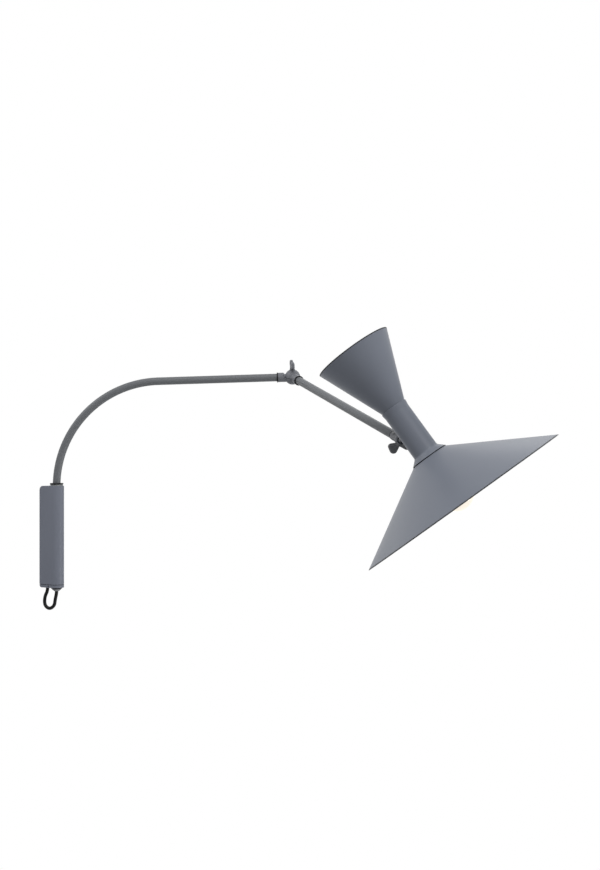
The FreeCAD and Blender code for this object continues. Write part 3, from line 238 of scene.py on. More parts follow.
# %% Moulded plastic and rubber
def moulded(name, colour, roughness, texture_scale=2600.0):
    finish = Finish(name, Specular_IOR_Level=0.12)
    cloud = finish.noise(40.0, 3.0)
    texture = finish.noise(texture_scale, 2.0)
    return finish.wear(
        Base_Color=finish.around(colour, 0.6 * cloud + 0.4 * texture, 0.14),
        Roughness=roughness - 0.05 + 0.1 * texture,
        Normal=finish.bump(texture, 0.00003, 0.4),
    )


black_plastic = moulded("BlackPlastic", (0.008, 0.008, 0.009), 0.50)
holder_plastic = moulded("HolderPlastic", (0.022, 0.022, 0.022), 0.38, 900.0)
grey_plastic = moulded("GreyPlastic", (0.27, 0.28, 0.29), 0.5)
terminal_plastic = moulded("TerminalPlastic", (0.55, 0.54, 0.50), 0.45)
cord_rubber = moulded("CordRubber", (0.005, 0.005, 0.0055), 0.36, 1800.0)
made(black_plastic, holder_plastic, grey_plastic, terminal_plastic, cord_rubber)

# %% [markdown]
# ## Bare metals
#
# The wall plate, nuts and small screws are zinc plated: a pale metal with a faint crystal bloom. The ball
# stud and the clamp's nut are blackened, the terminal screws are brass, and the bulbs have caps of thin
# nickel. Colour, sharpness and cloudiness tell them apart, and a very fine bump stands for tool marks.

# %% Plated and polished metal
TOOL_MARK_SCALE = 3400.0


def bare_metal(name, dark, light, roughness, bloom_scale, variation=0.12):
    finish = Finish(name, Metallic=1.0)
    bloom = finish.noise(bloom_scale, 4.0)
    marks = finish.noise(TOOL_MARK_SCALE, 1.0)
    return finish.wear(
        Base_Color=finish.blend(bloom, dark + (1,), light + (1,)),
        Roughness=roughness + variation * bloom,
        Normal=finish.bump(marks, 0.00001, 0.25),
    )


zinc_steel = bare_metal("ZincSteel", (0.42, 0.43, 0.45), (0.60, 0.61, 0.63), 0.30, 260.0)
turned_chrome = bare_metal("Chrome", (0.66, 0.66, 0.67), (0.78, 0.78, 0.79), 0.10, 90.0, variation=0.06)
blackened_steel = bare_metal("BlackenedSteel", (0.105, 0.107, 0.112), (0.150, 0.152, 0.158), 0.30, 140.0)
terminal_brass = bare_metal("Brass", (0.58, 0.42, 0.18), (0.76, 0.60, 0.30), 0.22, 300.0)
cap_nickel = bare_metal("BulbCapMetal", (0.55, 0.54, 0.52), (0.72, 0.71, 0.69), 0.24, 200.0)
made(zinc_steel, turned_chrome, blackened_steel, terminal_brass, cap_nickel)

# %% [markdown]
# ## Lit bulbs
#
# Both bulbs are opal glass and switched on. A light inside each bulb would have to cross the glass, which
# is slow and noisy, so the glass itself glows, in a warm tint that stands out against the white ground.
# The glow stays below full white, so that light from outside still makes the globe look round.

# %% Glowing opal glass
BULB_GLOW = 0.70


def opal_glass():
    finish = Finish("BulbGlass", Roughness=0.12, Specular_IOR_Level=0.5, Emission_Strength=BULB_GLOW)
    cloud = finish.noise(60.0, 2.0)
    return finish.wear(
        Base_Color=finish.blend(cloud, (0.31, 0.30, 0.285, 1), (0.33, 0.32, 0.305, 1)),
        Emission_Color=finish.blend(cloud, (1.0, 0.89, 0.73, 1), (1.0, 0.91, 0.77, 1)),
    )


bulb_glass = opal_glass()
made(bulb_glass)

# %% [markdown]
# ## The cord loop
#
# A short black cord leaves the lower end of the swivelling tube, hangs in a loop and goes back up into
# the bracket, so that the arm can turn without pulling on it. It could be a mesh tube, but a smooth
# curve with a round bevel keeps its section true at every bend. Its control points follow the photograph.

# %% Cord loop
CORD_RADIUS = 2.65
CORD_ROUTE = [
    (25.0, 0.0, -82.4),
    (25.0, 0.0, -88.4),
    (24.4, -2.6, -97.6),
    (24.3, -4.4, -108.0),
    (14.4, -5.2, -113.6),
    (4.6, -5.0, -107.8),
    (4.3, -3.9, -94.5),
    (6.9, 0.0, -85.6),
    (6.9, 0.0, -77.6),
]


def hanging_cord():
    curve = bpy.data.curves.new("CordLoop", "CURVE")
    curve.dimensions = "3D"
    curve.bevel_depth = CORD_RADIUS * MM
    curve.bevel_resolution = 8
    curve.resolution_u = 16
    curve.use_fill_caps = True
    spline = curve.splines.new("NURBS")
    spline.points.add(len(CORD_ROUTE) - 1)
    for point, place in zip(spline.points, CORD_ROUTE):
        point.co = (*(c * MM for c in place), 1)
    spline.order_u = 3
    spline.use_endpoint_u = True
    cord = bpy.data.objects.new("CordLoop", curve)
    bpy.context.scene.collection.objects.link(cord)
    curve.materials.append(cord_rubber)
    return cord


cord = hanging_cord()
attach(cord, "bracket")
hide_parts("cord_loop")
print("cord of", len(CORD_ROUTE), "control points")

# %% [markdown]
# ## Where each moving body is
#
# Every body of the lamp hangs on the one before it: the arm turns in the bracket, the knuckle rolls on
# the arm, the forearm bends on the knuckle, the clamp rolls on the forearm, the stud tilts in the clamp
# and the head turns on the stud. The same chain carries each piece from the origin to its body.

# %% Frames of the bodies
def turn(axis, angle):
    return Matrix.Rotation(radians(angle), 4, axis)


def shift(x, y, z):
    return Matrix.Translation((x * MM, y * MM, z * MM))


SWIVEL_X = 25.0
ARM_BEND_RADIUS = 163.8
ARM_BEND_START = 78.9
ARM_RISE = 1.8
BEND_ANGLE = 90.0 - ARM_RISE
ELBOW_REACH = 368.6
BEND_END_X = ARM_BEND_RADIUS * (1 - cos(radians(BEND_ANGLE)))
BEND_END_Z = ARM_BEND_START + ARM_BEND_RADIUS * sin(radians(BEND_ANGLE))
ELBOW_HEIGHT = BEND_END_Z + (ELBOW_REACH - BEND_END_X) * tan(radians(ARM_RISE))
FOREARM_LENGTH = 381.5
HEAD_OFFSET = 31.0

# how far each joint is turned at rest, and how the clamp's split lies
WALL_SWIVEL, ELBOW_ROLL, ELBOW_BEND = 30.0, 16.4, -68.6
HEAD_ROLL, CLAMP_SPLIT, HEAD_TILT, HEAD_TURN = 85.9, -67.5, 35.3, -63.6

AT_WALL = Matrix.Identity(4)
AT_SWIVEL = shift(SWIVEL_X, 0, 0)
AT_ARM = AT_SWIVEL @ turn("Z", WALL_SWIVEL)
AT_ELBOW = AT_ARM @ shift(ELBOW_REACH, 0, ELBOW_HEIGHT) @ turn("Y", -ARM_RISE) @ turn("X", ELBOW_ROLL)
AT_INNER_KNUCKLE = AT_ELBOW @ turn("Y", 180)
AT_FOREARM = AT_ELBOW @ turn("Z", ELBOW_BEND)
AT_TILT = AT_FOREARM @ shift(FOREARM_LENGTH, 0, 0) @ turn("X", HEAD_ROLL)
AT_CLAMP = AT_TILT @ turn("X", CLAMP_SPLIT)
AT_STUD = AT_TILT @ turn("Z", HEAD_TILT)
AT_HEAD = AT_STUD @ turn("X", HEAD_TURN) @ shift(HEAD_OFFSET, 0, 0)
ALONG_X = turn("Y", 90)
print("head axis at", [round(c, 4) for c in AT_HEAD.translation])

# %% [markdown]
# ## Helpers for modelling by hand
#
# Most of the lamp is turned or spun metal. On a lathe, a profile makes the whole piece, so the helper
# draws a profile vertex by vertex and spins it. Corners are rounded by small arcs in the profile, which
# costs nothing and gives every edge the thin highlight that real metal has.

# %% Selecting and pulling
def only(*pieces):
    """Leaves edit mode and selects these pieces, and nothing else."""
    if bpy.context.object and bpy.context.object.mode != "OBJECT":
        bpy.ops.object.mode_set(mode="OBJECT")
    bpy.ops.object.select_all(action="DESELECT")
    for piece in pieces:
        piece.select_set(True)
    if pieces:
        bpy.context.view_layer.objects.active = pieces[0]


def edit(piece):
    """Opens one piece in edit mode, with all of it selected."""
    only(piece)
    bpy.ops.object.mode_set(mode="EDIT")
    bpy.ops.mesh.select_mode(type="VERT")
    bpy.ops.mesh.select_all(action="SELECT")


def pick(piece, kind, test):
    """In edit mode, selects the vertices, edges or faces that pass the test."""
    bpy.ops.mesh.select_mode(type=kind)
    bpy.ops.mesh.select_all(action="DESELECT")
    shape = bmesh.from_edit_mesh(piece.data)
    parts = {"VERT": shape.verts, "EDGE": shape.edges, "FACE": shape.faces}[kind]
    chosen = [part for part in parts if test(part)]
    for part in chosen:
        part.select_set(True)
    bmesh.update_edit_mesh(piece.data)
    return len(chosen)


def edge_middle(edge):
    return (edge.verts[0].co + edge.verts[1].co) / 2


def pull(x, y, z):
    """Extrudes what is selected."""
    bpy.ops.mesh.extrude_region_move(TRANSFORM_OT_translate={"value": (x, y, z)})


def face_outwards():
    """Selects all in edit mode and turns every face outwards."""
    bpy.ops.mesh.select_all(action="SELECT")
    bpy.ops.mesh.normals_make_consistent(inside=False)


def fix_place(piece, place=Matrix.Identity(4)):
    """Carries a piece to its place and applies that to its mesh."""
    only(piece)
    piece.matrix_world = place @ piece.matrix_world
    bpy.ops.object.transform_apply(location=True, rotation=True, scale=True)


print("selection helpers ready")


# %% Drawing a profile and spinning it
ARC_STEP = 22.0
ARC_SHARE = 0.49
MERGE_DISTANCE = 0.002


def rounded(outline):
    """Replaces each (across, up, radius) by a small arc, which takes under half of the lines beside it."""
    points = []
    for i, entry in enumerate(outline):
        here = Vector(entry[:2])
        if len(entry) == 2:
            points.append(here)
            continue
        back = Vector(outline[i - 1][:2]) - here
        ahead = Vector(outline[(i + 1) % len(outline)][:2]) - here
        half = back.angle(ahead) / 2
        reach = min(entry[2] / tan(half), ARC_SHARE * back.length, ARC_SHARE * ahead.length)
        radius = reach * tan(half)
        centre = here + (back.normalized() + ahead.normalized()).normalized() * (radius / sin(half))
        first = here + back.normalized() * reach - centre
        last = here + ahead.normalized() * reach - centre
        steps = max(2, round(abs(first.angle(last)) / radians(ARC_STEP)))
        sweep = atan2(first.x * last.y - first.y * last.x, first.dot(last))
        for step in range(steps + 1):
            angle = sweep * step / steps
            points.append(centre + Vector((first.x * cos(angle) - first.y * sin(angle),
                                           first.x * sin(angle) + first.y * cos(angle))))
    return points


def drawn(name, points, closed):
    """Draws a line vertex by vertex through (across, up), in the XZ plane."""
    only()
    bpy.ops.mesh.primitive_plane_add(size=1.0, location=(0, 0, 0))
    piece = bpy.context.object
    piece.name = name
    piece.data.name = name
    edit(piece)
    bpy.ops.mesh.merge(type="CENTER")
    bpy.ops.transform.translate(value=(points[0].x, 0, points[0].y))
    here = points[0]
    for there in points[1:] + (points[:1] if closed else []):
        pull(there.x - here.x, 0, there.y - here.y)
        here = there
    return piece


def spun(name, outline, steps=96, closed=True):
    """Spins a profile of (radius, height) or (radius, height, corner radius) round the Z axis."""
    piece = drawn(name, rounded(outline), closed)
    bpy.ops.mesh.select_all(action="SELECT")
    bpy.ops.mesh.spin(steps=steps, angle=2 * pi, center=(0, 0, 0), axis=(0, 0, 1), use_auto_merge=True)
    bpy.ops.mesh.select_all(action="SELECT")
    bpy.ops.mesh.remove_doubles(threshold=MERGE_DISTANCE)
    face_outwards()
    only(piece)
    return piece


print("lathe ready")

# %% [markdown]
# A piece that is not turned is cut or joined with another one. A Boolean modifier does that, and a small
# bevel afterwards takes the sharpness off the new edges.

# %% Cutting, joining and rounding
SHARP_ANGLE = 35.0
FAR = 100.0  # a hole that goes right through ends here


def apply_modifier(piece, kind, **settings):
    only(piece)
    bpy.ops.object.modifier_add(type=kind)
    modifier = piece.modifiers[-1]
    for setting, value in settings.items():
        setattr(modifier, setting, value)
    bpy.ops.object.modifier_apply(modifier=modifier.name)


def combine(piece, other, operation):
    """Joins the other shape to the piece, or cuts it away, and uses the other shape up."""
    apply_modifier(piece, "BOOLEAN", operation=operation, solver="EXACT", object=other)
    bpy.data.objects.remove(other)


def soften(piece, width):
    """Bevels the sharp edges of a finished shape."""
    apply_modifier(piece, "BEVEL", width=width, segments=2, limit_method="ANGLE",
                   angle_limit=radians(SHARP_ANGLE), use_clamp_overlap=True, miter_outer="MITER_ARC")


def put(x, y, z):
    return Matrix.Translation((x, y, z))


def cylinder(radius, low, high, place=Matrix.Identity(4), vertices=64):
    """A cylinder from low to high along the Z axis of its place."""
    only()
    bpy.ops.mesh.primitive_cylinder_add(vertices=vertices, radius=radius, depth=high - low,
                                        location=(0, 0, (low + high) / 2))
    tool = bpy.context.object
    fix_place(tool, place)
    return tool


def drill(piece, *size_and_place):
    """Cuts a round hole, which is told as a cylinder is."""
    combine(piece, cylinder(*size_and_place), "DIFFERENCE")


print("workshop ready")

# %% [markdown]
# When a piece is finished it is scaled to metres and carried to its body, and that place is applied to
# its mesh, so that its object sits at the origin as the CAD nodes do. The names of pieces and finishes are
# those of the CAD nodes and slots in another spelling, so only an exception is written out.

# %% Putting a piece on the lamp
def cad_name(name):
    """Spells TopCollar as top_collar."""
    return "".join("_" + c.lower() if c.isupper() else c for c in name)[1:]


def settle(piece, place, body, finish, node=None, slot=None, smooth=32.0):
    if not piece.data.materials:
        piece.data.materials.append(finish)
    fix_place(piece, place @ Matrix.Scale(MM, 4))
    bpy.ops.object.shade_smooth_by_angle(angle=radians(smooth))
    node = node or cad_name(piece.name)
    slot = slot or cad_name(finish.name)
    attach(piece, body)
    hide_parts(node)
    print(piece.name, len(piece.data.polygons), "faces, replaces", node, "in slot", slot)


print("every piece can be settled")

# %% [markdown]
# ## Wall bracket
#
# The bracket is a narrow column with a flat back and a round nose, pressed from sheet and closed at both
# ends. It could be cut from a block, but a model maker draws its plan once and pulls it up: half a circle
# for the nose, its two ends pulled back to the wall, and the face extruded to the column's height.

# %% Plan of the bracket, pulled up
BRACKET_HALF_WIDTH = 11.4
BRACKET_TOP = 79.2
BODY_BOTTOM = -74.3
CAP_BOTTOM = -79.5
BODY_CORNER = 6.5
BRACKET_EDGE = 1.0
NEAR = 0.01


def column(name, low, high, corner_radius, corner_height):
    only()
    bpy.ops.mesh.primitive_circle_add(vertices=96, radius=BRACKET_HALF_WIDTH, location=(SWIVEL_X, 0, low))
    piece = bpy.context.object
    piece.name = name
    fix_place(piece)
    edit(piece)
    pick(piece, "VERT", lambda v: v.co.x < SWIVEL_X - NEAR)
    bpy.ops.mesh.delete(type="VERT")
    pick(piece, "VERT", lambda v: abs(v.co.x - SWIVEL_X) < NEAR)
    pull(-SWIVEL_X, 0, 0)
    bpy.ops.mesh.select_all(action="SELECT")
    bpy.ops.mesh.edge_face_add()
    pull(0, 0, high - low)
    face_outwards()

    # the end's corner against the wall is bent with a large radius, its other edges with a small one
    def at_wall(edge):
        middle = edge_middle(edge)
        return abs(middle.x) < NEAR and abs(middle.y) < 1.0 and abs(middle.z - corner_height) < NEAR
    pick(piece, "EDGE", at_wall)
    bpy.ops.mesh.bevel(offset=corner_radius, segments=10, affect="EDGES")
    return piece


def round_rim(piece, at_end):
    """Rounds the edges between the end face, with its bent corner, and the sides."""
    def on_rim(edge):
        if len(edge.link_faces) != 2:
            return False
        first, second = (face.normal for face in edge.link_faces)
        middle = edge_middle(edge)
        return first.angle(second) > radians(60) and at_end(middle.z) and middle.x > 0.05
    print("rim edges", pick(piece, "EDGE", on_rim))
    bpy.ops.mesh.bevel(offset=BRACKET_EDGE, segments=4, affect="EDGES", clamp_overlap=True)


body = column("BracketBody", BODY_BOTTOM, BRACKET_TOP, BODY_CORNER, BRACKET_TOP)
round_rim(body, lambda z: z > BRACKET_TOP - BODY_CORNER - 0.1)
only(body)
print("column of", len(body.data.polygons), "faces")

# %% [markdown]
# The back is open, so that it can be hung on its wall plate. The back face is inset by the thickness of
# the sheet, its ends are pulled in to leave blocks for the bushes, and it is pushed towards the nose.

# %% Hollow of the bracket and its bores
SHEET = 2.0
HOLLOW_DEPTH = 29.0
WEB_HEIGHT = 9.0
BUSH_RADIUS = 7.4
CORD_EXIT_X = 6.9
GROMMET_RADIUS = 3.9

edit(body)
pick(body, "FACE", lambda f: f.normal.x < -0.999 and abs(f.calc_center_median().x) < NEAR)
bpy.ops.mesh.inset(thickness=SHEET, use_even_offset=True)
shape = bmesh.from_edit_mesh(body.data)
for vertex in shape.verts:
    if vertex.select:
        vertex.co.z = BRACKET_TOP - WEB_HEIGHT if vertex.co.z > 0 else BODY_BOTTOM + WEB_HEIGHT
bmesh.update_edit_mesh(body.data)
pull(HOLLOW_DEPTH, 0, 0)
drill(body, BUSH_RADIUS, -FAR, FAR, put(SWIVEL_X, 0, 0))
drill(body, GROMMET_RADIUS, -FAR, 0, put(CORD_EXIT_X, 0, 0))
settle(body, AT_WALL, "bracket", bracket_paint)

# %% [markdown]
# A cap closes the bracket from below, and a fine dark seam shows where it ends. It could be a painted
# line, but a real groove is true from every side: the cap's top is inset and pulled up. Its top face also
# gets the near-black painted shade, which darkens the groove.

# %% Bottom cap with its seam
SEAM_DEPTH = 0.8
SEAM_FLOOR = BODY_BOTTOM - SEAM_DEPTH
CAP_CORNER = 4.3

cap = column("BottomCap", CAP_BOTTOM, SEAM_FLOOR, CAP_CORNER, CAP_BOTTOM)
round_rim(cap, lambda z: z < SEAM_FLOOR - 0.1)
for finish in (bracket_paint, painted_rim_and_seam_shade):
    cap.data.materials.append(finish)
pick(cap, "FACE", lambda f: f.normal.z > 0.99 and abs(f.calc_center_median().z - SEAM_FLOOR) < NEAR)
# the top face gets the near-black painted shade of the seam groove
cap.active_material_index = 1
bpy.ops.object.material_slot_assign()
bpy.ops.mesh.inset(thickness=SEAM_DEPTH, use_even_offset=True)
pull(0, 0, SEAM_DEPTH)

# %% Holes of the cap
CAP_SCREW_X = 13.6
CAP_HOLES = [
    (SWIVEL_X, BUSH_RADIUS, 0), (CORD_EXIT_X, GROMMET_RADIUS, 0),
    (CAP_SCREW_X, 1.6, 0), (CAP_SCREW_X, 2.3, CAP_BOTTOM + 1.8),
]
SIDE_SCREW_RADIUS = 1.3
AT_SIDE_SCREWS = put(17.8, 0, -77.15)

for x, radius, top in CAP_HOLES:
    drill(cap, radius, -FAR, top, put(x, 0, 0))
for side in (90, -90):
    sideways = AT_SIDE_SCREWS @ turn("X", side)
    drill(cap, SIDE_SCREW_RADIUS, BUSH_RADIUS - 1, BRACKET_HALF_WIDTH + 2, sideways, 32)
settle(cap, AT_WALL, "bracket", bracket_paint)

# %% [markdown]
# ## Bushes, collar and gland
#
# The arm turns in two moulded bushes, a grey collar hides the upper bore, a grommet guards the cord, and a
# tapered gland closes the lower end of the tube. All of them come off a lathe or out of a round mould, so
# each is a profile, spun once, whose rounded corners catch a line of light.

# %% Round pieces of the bracket
TUBE_RADIUS = 6.0
TUBE_BORE = 5.0
TUBE_BOTTOM = -83.0
RUNNING_BORE = 6.08
COLLAR_TOP = 81.6
WEB_TOP = -65.3

collar = spun("TopCollar", [
    (BUSH_RADIUS, BRACKET_TOP), (9.7, BRACKET_TOP), (9.7, COLLAR_TOP, 0.6), (BUSH_RADIUS, COLLAR_TOP),
])
settle(collar, AT_SWIVEL, "bracket", grey_plastic)

upper_bush = spun("UpperBush", [
    (RUNNING_BORE, 70.2), (BUSH_RADIUS, 70.2), (BUSH_RADIUS, COLLAR_TOP), (10.4, COLLAR_TOP, 0.2),
    (10.4, 83.5, 0.5), (6.58, 83.5, 0.35), (6.58, 78.9), (RUNNING_BORE, 78.9),
])
settle(upper_bush, AT_SWIVEL, "bracket", black_plastic)

lower_bush = spun("LowerBush", [
    (RUNNING_BORE, WEB_TOP), (BUSH_RADIUS, WEB_TOP), (BUSH_RADIUS, CAP_BOTTOM), (8.4, CAP_BOTTOM),
    (8.4, -81.4, 0.45), (RUNNING_BORE, -81.4, 0.3),
])
settle(lower_bush, AT_SWIVEL, "bracket", black_plastic)

# %% Grommet and gland of the cord
CORD_BORE = 2.75

grommet = spun("CordGrommet", [
    (CORD_BORE, WEB_TOP), (GROMMET_RADIUS, WEB_TOP), (GROMMET_RADIUS, CAP_BOTTOM), (4.4, CAP_BOTTOM),
    (4.4, -80.0, 0.2), (3.9, -80.7, 0.3), (CORD_BORE, -80.7, 0.2),
], steps=64)
settle(grommet, shift(CORD_EXIT_X, 0, 0), "bracket", cord_rubber, slot="black_rubber")

gland = spun("CordGland", [
    (CORD_BORE, -75.0), (TUBE_BORE, -75.0), (TUBE_BORE, TUBE_BOTTOM), (TUBE_RADIUS, TUBE_BOTTOM),
    (TUBE_RADIUS, -81.55), (7.0, -81.55, 0.25), (7.0, -82.45, 0.35), (5.5, -83.68), (3.7, -85.15, 0.3),
    (CORD_BORE, -85.15, 0.2),
])
settle(gland, AT_ARM, "arm", grey_plastic)

# %% [markdown]
# ## The bent arm
#
# The arm is one steel tube. A curve with a round bevel would do, but here it is made as the bender makes
# it: a circle is pulled up through the bracket, spun through the bend about the former's centre, and
# pulled out straight to the elbow. Solidify then gives it its wall.

# %% Arm tube
SLEEVE_FLOOR = 14.2
TUBE_END_GAP = 0.1


def bent_tube():
    only()
    bpy.ops.mesh.primitive_circle_add(vertices=48, radius=TUBE_RADIUS, location=(0, 0, TUBE_BOTTOM))
    piece = bpy.context.object
    piece.name = "ArmTube"
    fix_place(piece)
    edit(piece)
    pull(0, 0, ARM_BEND_START - TUBE_BOTTOM)
    bpy.ops.mesh.spin(steps=48, angle=radians(BEND_ANGLE), center=(ARM_BEND_RADIUS, 0, ARM_BEND_START),
                      axis=(0, -1, 0))
    rise = radians(ARM_RISE)
    straight = (ELBOW_REACH - BEND_END_X) / cos(rise) - SLEEVE_FLOOR - TUBE_END_GAP
    pull(straight * cos(rise), 0, straight * sin(rise))
    face_outwards()
    only(piece)
    return piece


arm = bent_tube()
print("arm measures", [round(c, 2) for c in arm.dimensions], "mm")
apply_modifier(arm, "SOLIDIFY", thickness=TUBE_RADIUS - TUBE_BORE, offset=-1.0)
settle(arm, AT_ARM, "arm", arm_paint)

# %% [markdown]
# ## The ball knuckle
#
# The elbow is a ball that is split by a flat joint face. One half belongs to the arm and the other to the
# forearm, and each has a sleeve that takes its tube. A half ball is spun round the screw's axis, with its
# flat for the screw head already in the profile. The sleeve is spun too, turned on its side, cleared where
# the other half sweeps past it, and joined with a Boolean. A small bevel then rounds the edges.

# %% Half a ball, with its flat and its seat
KNUCKLE_RADIUS = 12.0
KNUCKLE_FACE = 0.3
KNUCKLE_FLAT = 11.0
SCREW_BORE = 2.58
SEAT_RADIUS = 4.4


def on_circle(radius, start, end, steps, centre=0.0):
    """Points (across, up) on a circle round the axis, by angle up from the horizontal."""
    angles = [start + (end - start) * i / steps for i in range(steps + 1)]
    return [(radius * cos(radians(a)), centre + radius * sin(radians(a))) for a in angles]


def half_ball(name, seat):
    low = degrees(asin(KNUCKLE_FACE / KNUCKLE_RADIUS))
    high = degrees(asin(KNUCKLE_FLAT / KNUCKLE_RADIUS))
    outline = [(SCREW_BORE, KNUCKLE_FACE)] + on_circle(KNUCKLE_RADIUS, low, high, 16)
    outline[1] += (0.35,)
    outline[-1] += (0.3,)
    if seat > KNUCKLE_FLAT:
        outline += [(SEAT_RADIUS, KNUCKLE_FLAT, 0.15), (SEAT_RADIUS, seat, 0.25)]
    return spun(name, outline + [(SCREW_BORE, seat)], steps=128)


print("half ball ready")


# %% Sleeve that clears the other half
SWEPT_RADIUS = 12.35  # the other half sweeps this far
SLEEVE_RADIUS = 7.3
GRUB_RADIUS = 1.5
GRUB_DEPTH = 10.0


def sleeve(end, bore):
    bar = spun("Sleeve", [
        (0, 6.0), (SLEEVE_RADIUS, 6.0), (SLEEVE_RADIUS, end, 0.6), (bore, end, 0.15), (bore, SLEEVE_FLOOR),
        (0, SLEEVE_FLOOR),
    ], closed=False)
    fix_place(bar, ALONG_X)
    neck = SLEEVE_RADIUS - 2.0
    sphere = on_circle(SWEPT_RADIUS, degrees(acos(neck / SWEPT_RADIUS)), 90.0, 8)
    clearance = spun("Clearance", [
        (0, 0), (20.0, 0), (20.0, 15.35), (neck + 3.0, 15.35), (neck, SWEPT_RADIUS), *sphere[:-1],
        (0, SWEPT_RADIUS),
    ], closed=False)
    fix_place(clearance, ALONG_X)
    edit(clearance)
    bpy.ops.mesh.bisect(plane_co=(0, 0, KNUCKLE_FACE + 0.02), plane_no=(0, 0, 1), clear_outer=True,
                        use_fill=True)
    combine(bar, clearance, "DIFFERENCE")
    return bar


def knuckle(name, end, bore, seat, grub_side):
    piece = half_ball(name, seat)
    combine(piece, sleeve(end, bore), "UNION")
    low, high = sorted((0, GRUB_DEPTH * grub_side))
    drill(piece, GRUB_RADIUS, low, high, put((SLEEVE_FLOOR + end) / 2, 0, 0), 32)
    return piece


# %% Both halves of the knuckle
INNER_SLEEVE_END = 22.7
OUTER_SLEEVE_END = 26.0
OUTER_SEAT = 12.2
ELBOW_NUT_FLATS = 8.0
NUT_PLAY = 0.1


def hexagon(flats, low, high, place=Matrix.Identity(4)):
    return cylinder(flats / sqrt(3), low, high, place, 6)


inner_knuckle = knuckle("ElbowInnerKnuckle", INNER_SLEEVE_END, RUNNING_BORE, KNUCKLE_FLAT, 1)
combine(inner_knuckle, hexagon(ELBOW_NUT_FLATS + NUT_PLAY, 7.6, 14.0), "DIFFERENCE")
outer_knuckle = knuckle("ElbowOuterKnuckle", OUTER_SLEEVE_END, TUBE_RADIUS, OUTER_SEAT, -1)
for half, place, body in (
    (inner_knuckle, AT_INNER_KNUCKLE, "elbow_base"), (outer_knuckle, AT_FOREARM, "forearm"),
):
    soften(half, 0.22)
    settle(half, place, body, joint_paint)

# %% Black rings at the mouths of the sleeves
RING_THICKNESS = 1.7


def crowned_ring(name, start, radius, bore):
    middle = start + RING_THICKNESS / 2
    end = start + RING_THICKNESS
    return spun(name, [
        (bore, start), (radius, start, 0.3), (radius + 0.15, middle), (radius, end, 0.3), (bore, end),
    ])


SPIGOT_BORE = 3.08

for name, start, radius, bore, place, body in (
    ("ElbowInner", INNER_SLEEVE_END, 7.6, RUNNING_BORE, AT_INNER_KNUCKLE, "elbow_base"),
    ("ElbowOuter", OUTER_SLEEVE_END, 7.6, TUBE_RADIUS, AT_FOREARM, "forearm"),
    ("Clamp", -20.7, 6.5, SPIGOT_BORE, AT_CLAMP, "clamp"),
):
    ring = crowned_ring(name + "Ring", start, radius, bore)
    settle(ring, place @ ALONG_X, body, black_plastic, cad_name(name) + "_washer")

# %% [markdown]
# ## Wing screws
#
# A cast wing screw has two lobes that grow out of a round hub, with every edge rounded by the casting. A
# lobe is the tight skin round three discs, so rings are added there and the convex hull operator stretches
# the skin. The hub is spun, voxel remesh melts the pieces into one casting, and smoothing leaves the soft
# inner corners that a mould has.

# %% One cast wing screw
ELBOW_WING_LOBE = [(2.6, 4.4, 2.65), (9.6, 5.6, 3.8), (8.2, 9.0, 4.3)]
CLAMP_WING_LOBE = [(1.5, 6.2, 3.2), (10.6, 6.1, 4.2), (9.2, 11.9, 5.2)]
WING_HALF_THICKNESS = 2.6
VOXEL = 0.24


def wing_lobe(discs, side):
    only()
    rings = []
    for across, up, radius in discs:
        bpy.ops.mesh.primitive_torus_add(
            location=(side * across, 0, up), rotation=(pi / 2, 0, 0), major_segments=64, minor_segments=24,
            major_radius=radius - WING_HALF_THICKNESS, minor_radius=WING_HALF_THICKNESS)
        rings.append(bpy.context.object)
    only(*rings)
    bpy.ops.object.join()
    lobe = bpy.context.object
    fix_place(lobe)
    edit(lobe)
    bpy.ops.mesh.convex_hull()
    only(lobe)
    return lobe


def wing_screw(name, discs, hub_height, shank_radius, shank_length):
    hub = spun(name, [
        (0, -shank_length), (shank_radius, -shank_length, 0.4), (shank_radius, 0), (3.8, 0, 0.2),
        (3.4, hub_height - 1.6), (2.4, hub_height - 0.5), (1.2, hub_height), (0, hub_height),
    ], steps=64, closed=False)
    lobes = [wing_lobe(discs, 1), wing_lobe(discs, -1)]
    only(hub, *lobes)
    bpy.ops.object.join()
    apply_modifier(hub, "REMESH", mode="VOXEL", voxel_size=VOXEL)
    apply_modifier(hub, "SMOOTH", factor=0.5, iterations=4)
    return hub


CLAMP_SCREW_AT = -13.5
AT_ELBOW_WING = AT_FOREARM @ shift(0, 0, 12.35) @ turn("Z", -14.0)
AT_CLAMP_WING = AT_CLAMP @ shift(CLAMP_SCREW_AT, 0, -5.75) @ turn("Z", 64.0) @ turn("X", 180)

elbow_wing = wing_screw("ElbowWingScrew", ELBOW_WING_LOBE, 7.2, 2.5, 22.75)
settle(elbow_wing, AT_ELBOW_WING, "elbow_wing", joint_paint, smooth=60)
clamp_wing = wing_screw("ClampWingScrew", CLAMP_WING_LOBE, 9.2, 2.0, 12.65)
settle(clamp_wing, AT_CLAMP_WING, "clamp_wing", wing_black, smooth=60)

# %% [markdown]
# ## Forearm
#
# The forearm is a straight tube. Its far end shows a little above the clamp's ring, so the cut end gets
# the small chamfer that a tube cutter leaves.

# %% Forearm tube
FOREARM_END = 360.65

forearm = spun("ForearmTube", [
    (TUBE_BORE, SLEEVE_FLOOR), (TUBE_RADIUS, SLEEVE_FLOOR), (TUBE_RADIUS, FOREARM_END, 0.25),
    (TUBE_BORE, FOREARM_END),
], steps=64)
settle(forearm, AT_FOREARM @ ALONG_X, "forearm", arm_paint)

# %% [markdown]
# ## The split clamp
#
# Two half shells close round the end of the forearm and round the ball of the head. They were one turned
# piece before a saw split them, and are made so here: the whole clamp is spun, a bisect leaves one half
# and closes its cut face, and the holes for the screw and the nut follow.

# %% Clamp before the saw
CUP_RADIUS = 7.2
CUP_FOOT = 2.37
BALL_SEAT = 5.35
LIP_ANGLE = 23.0


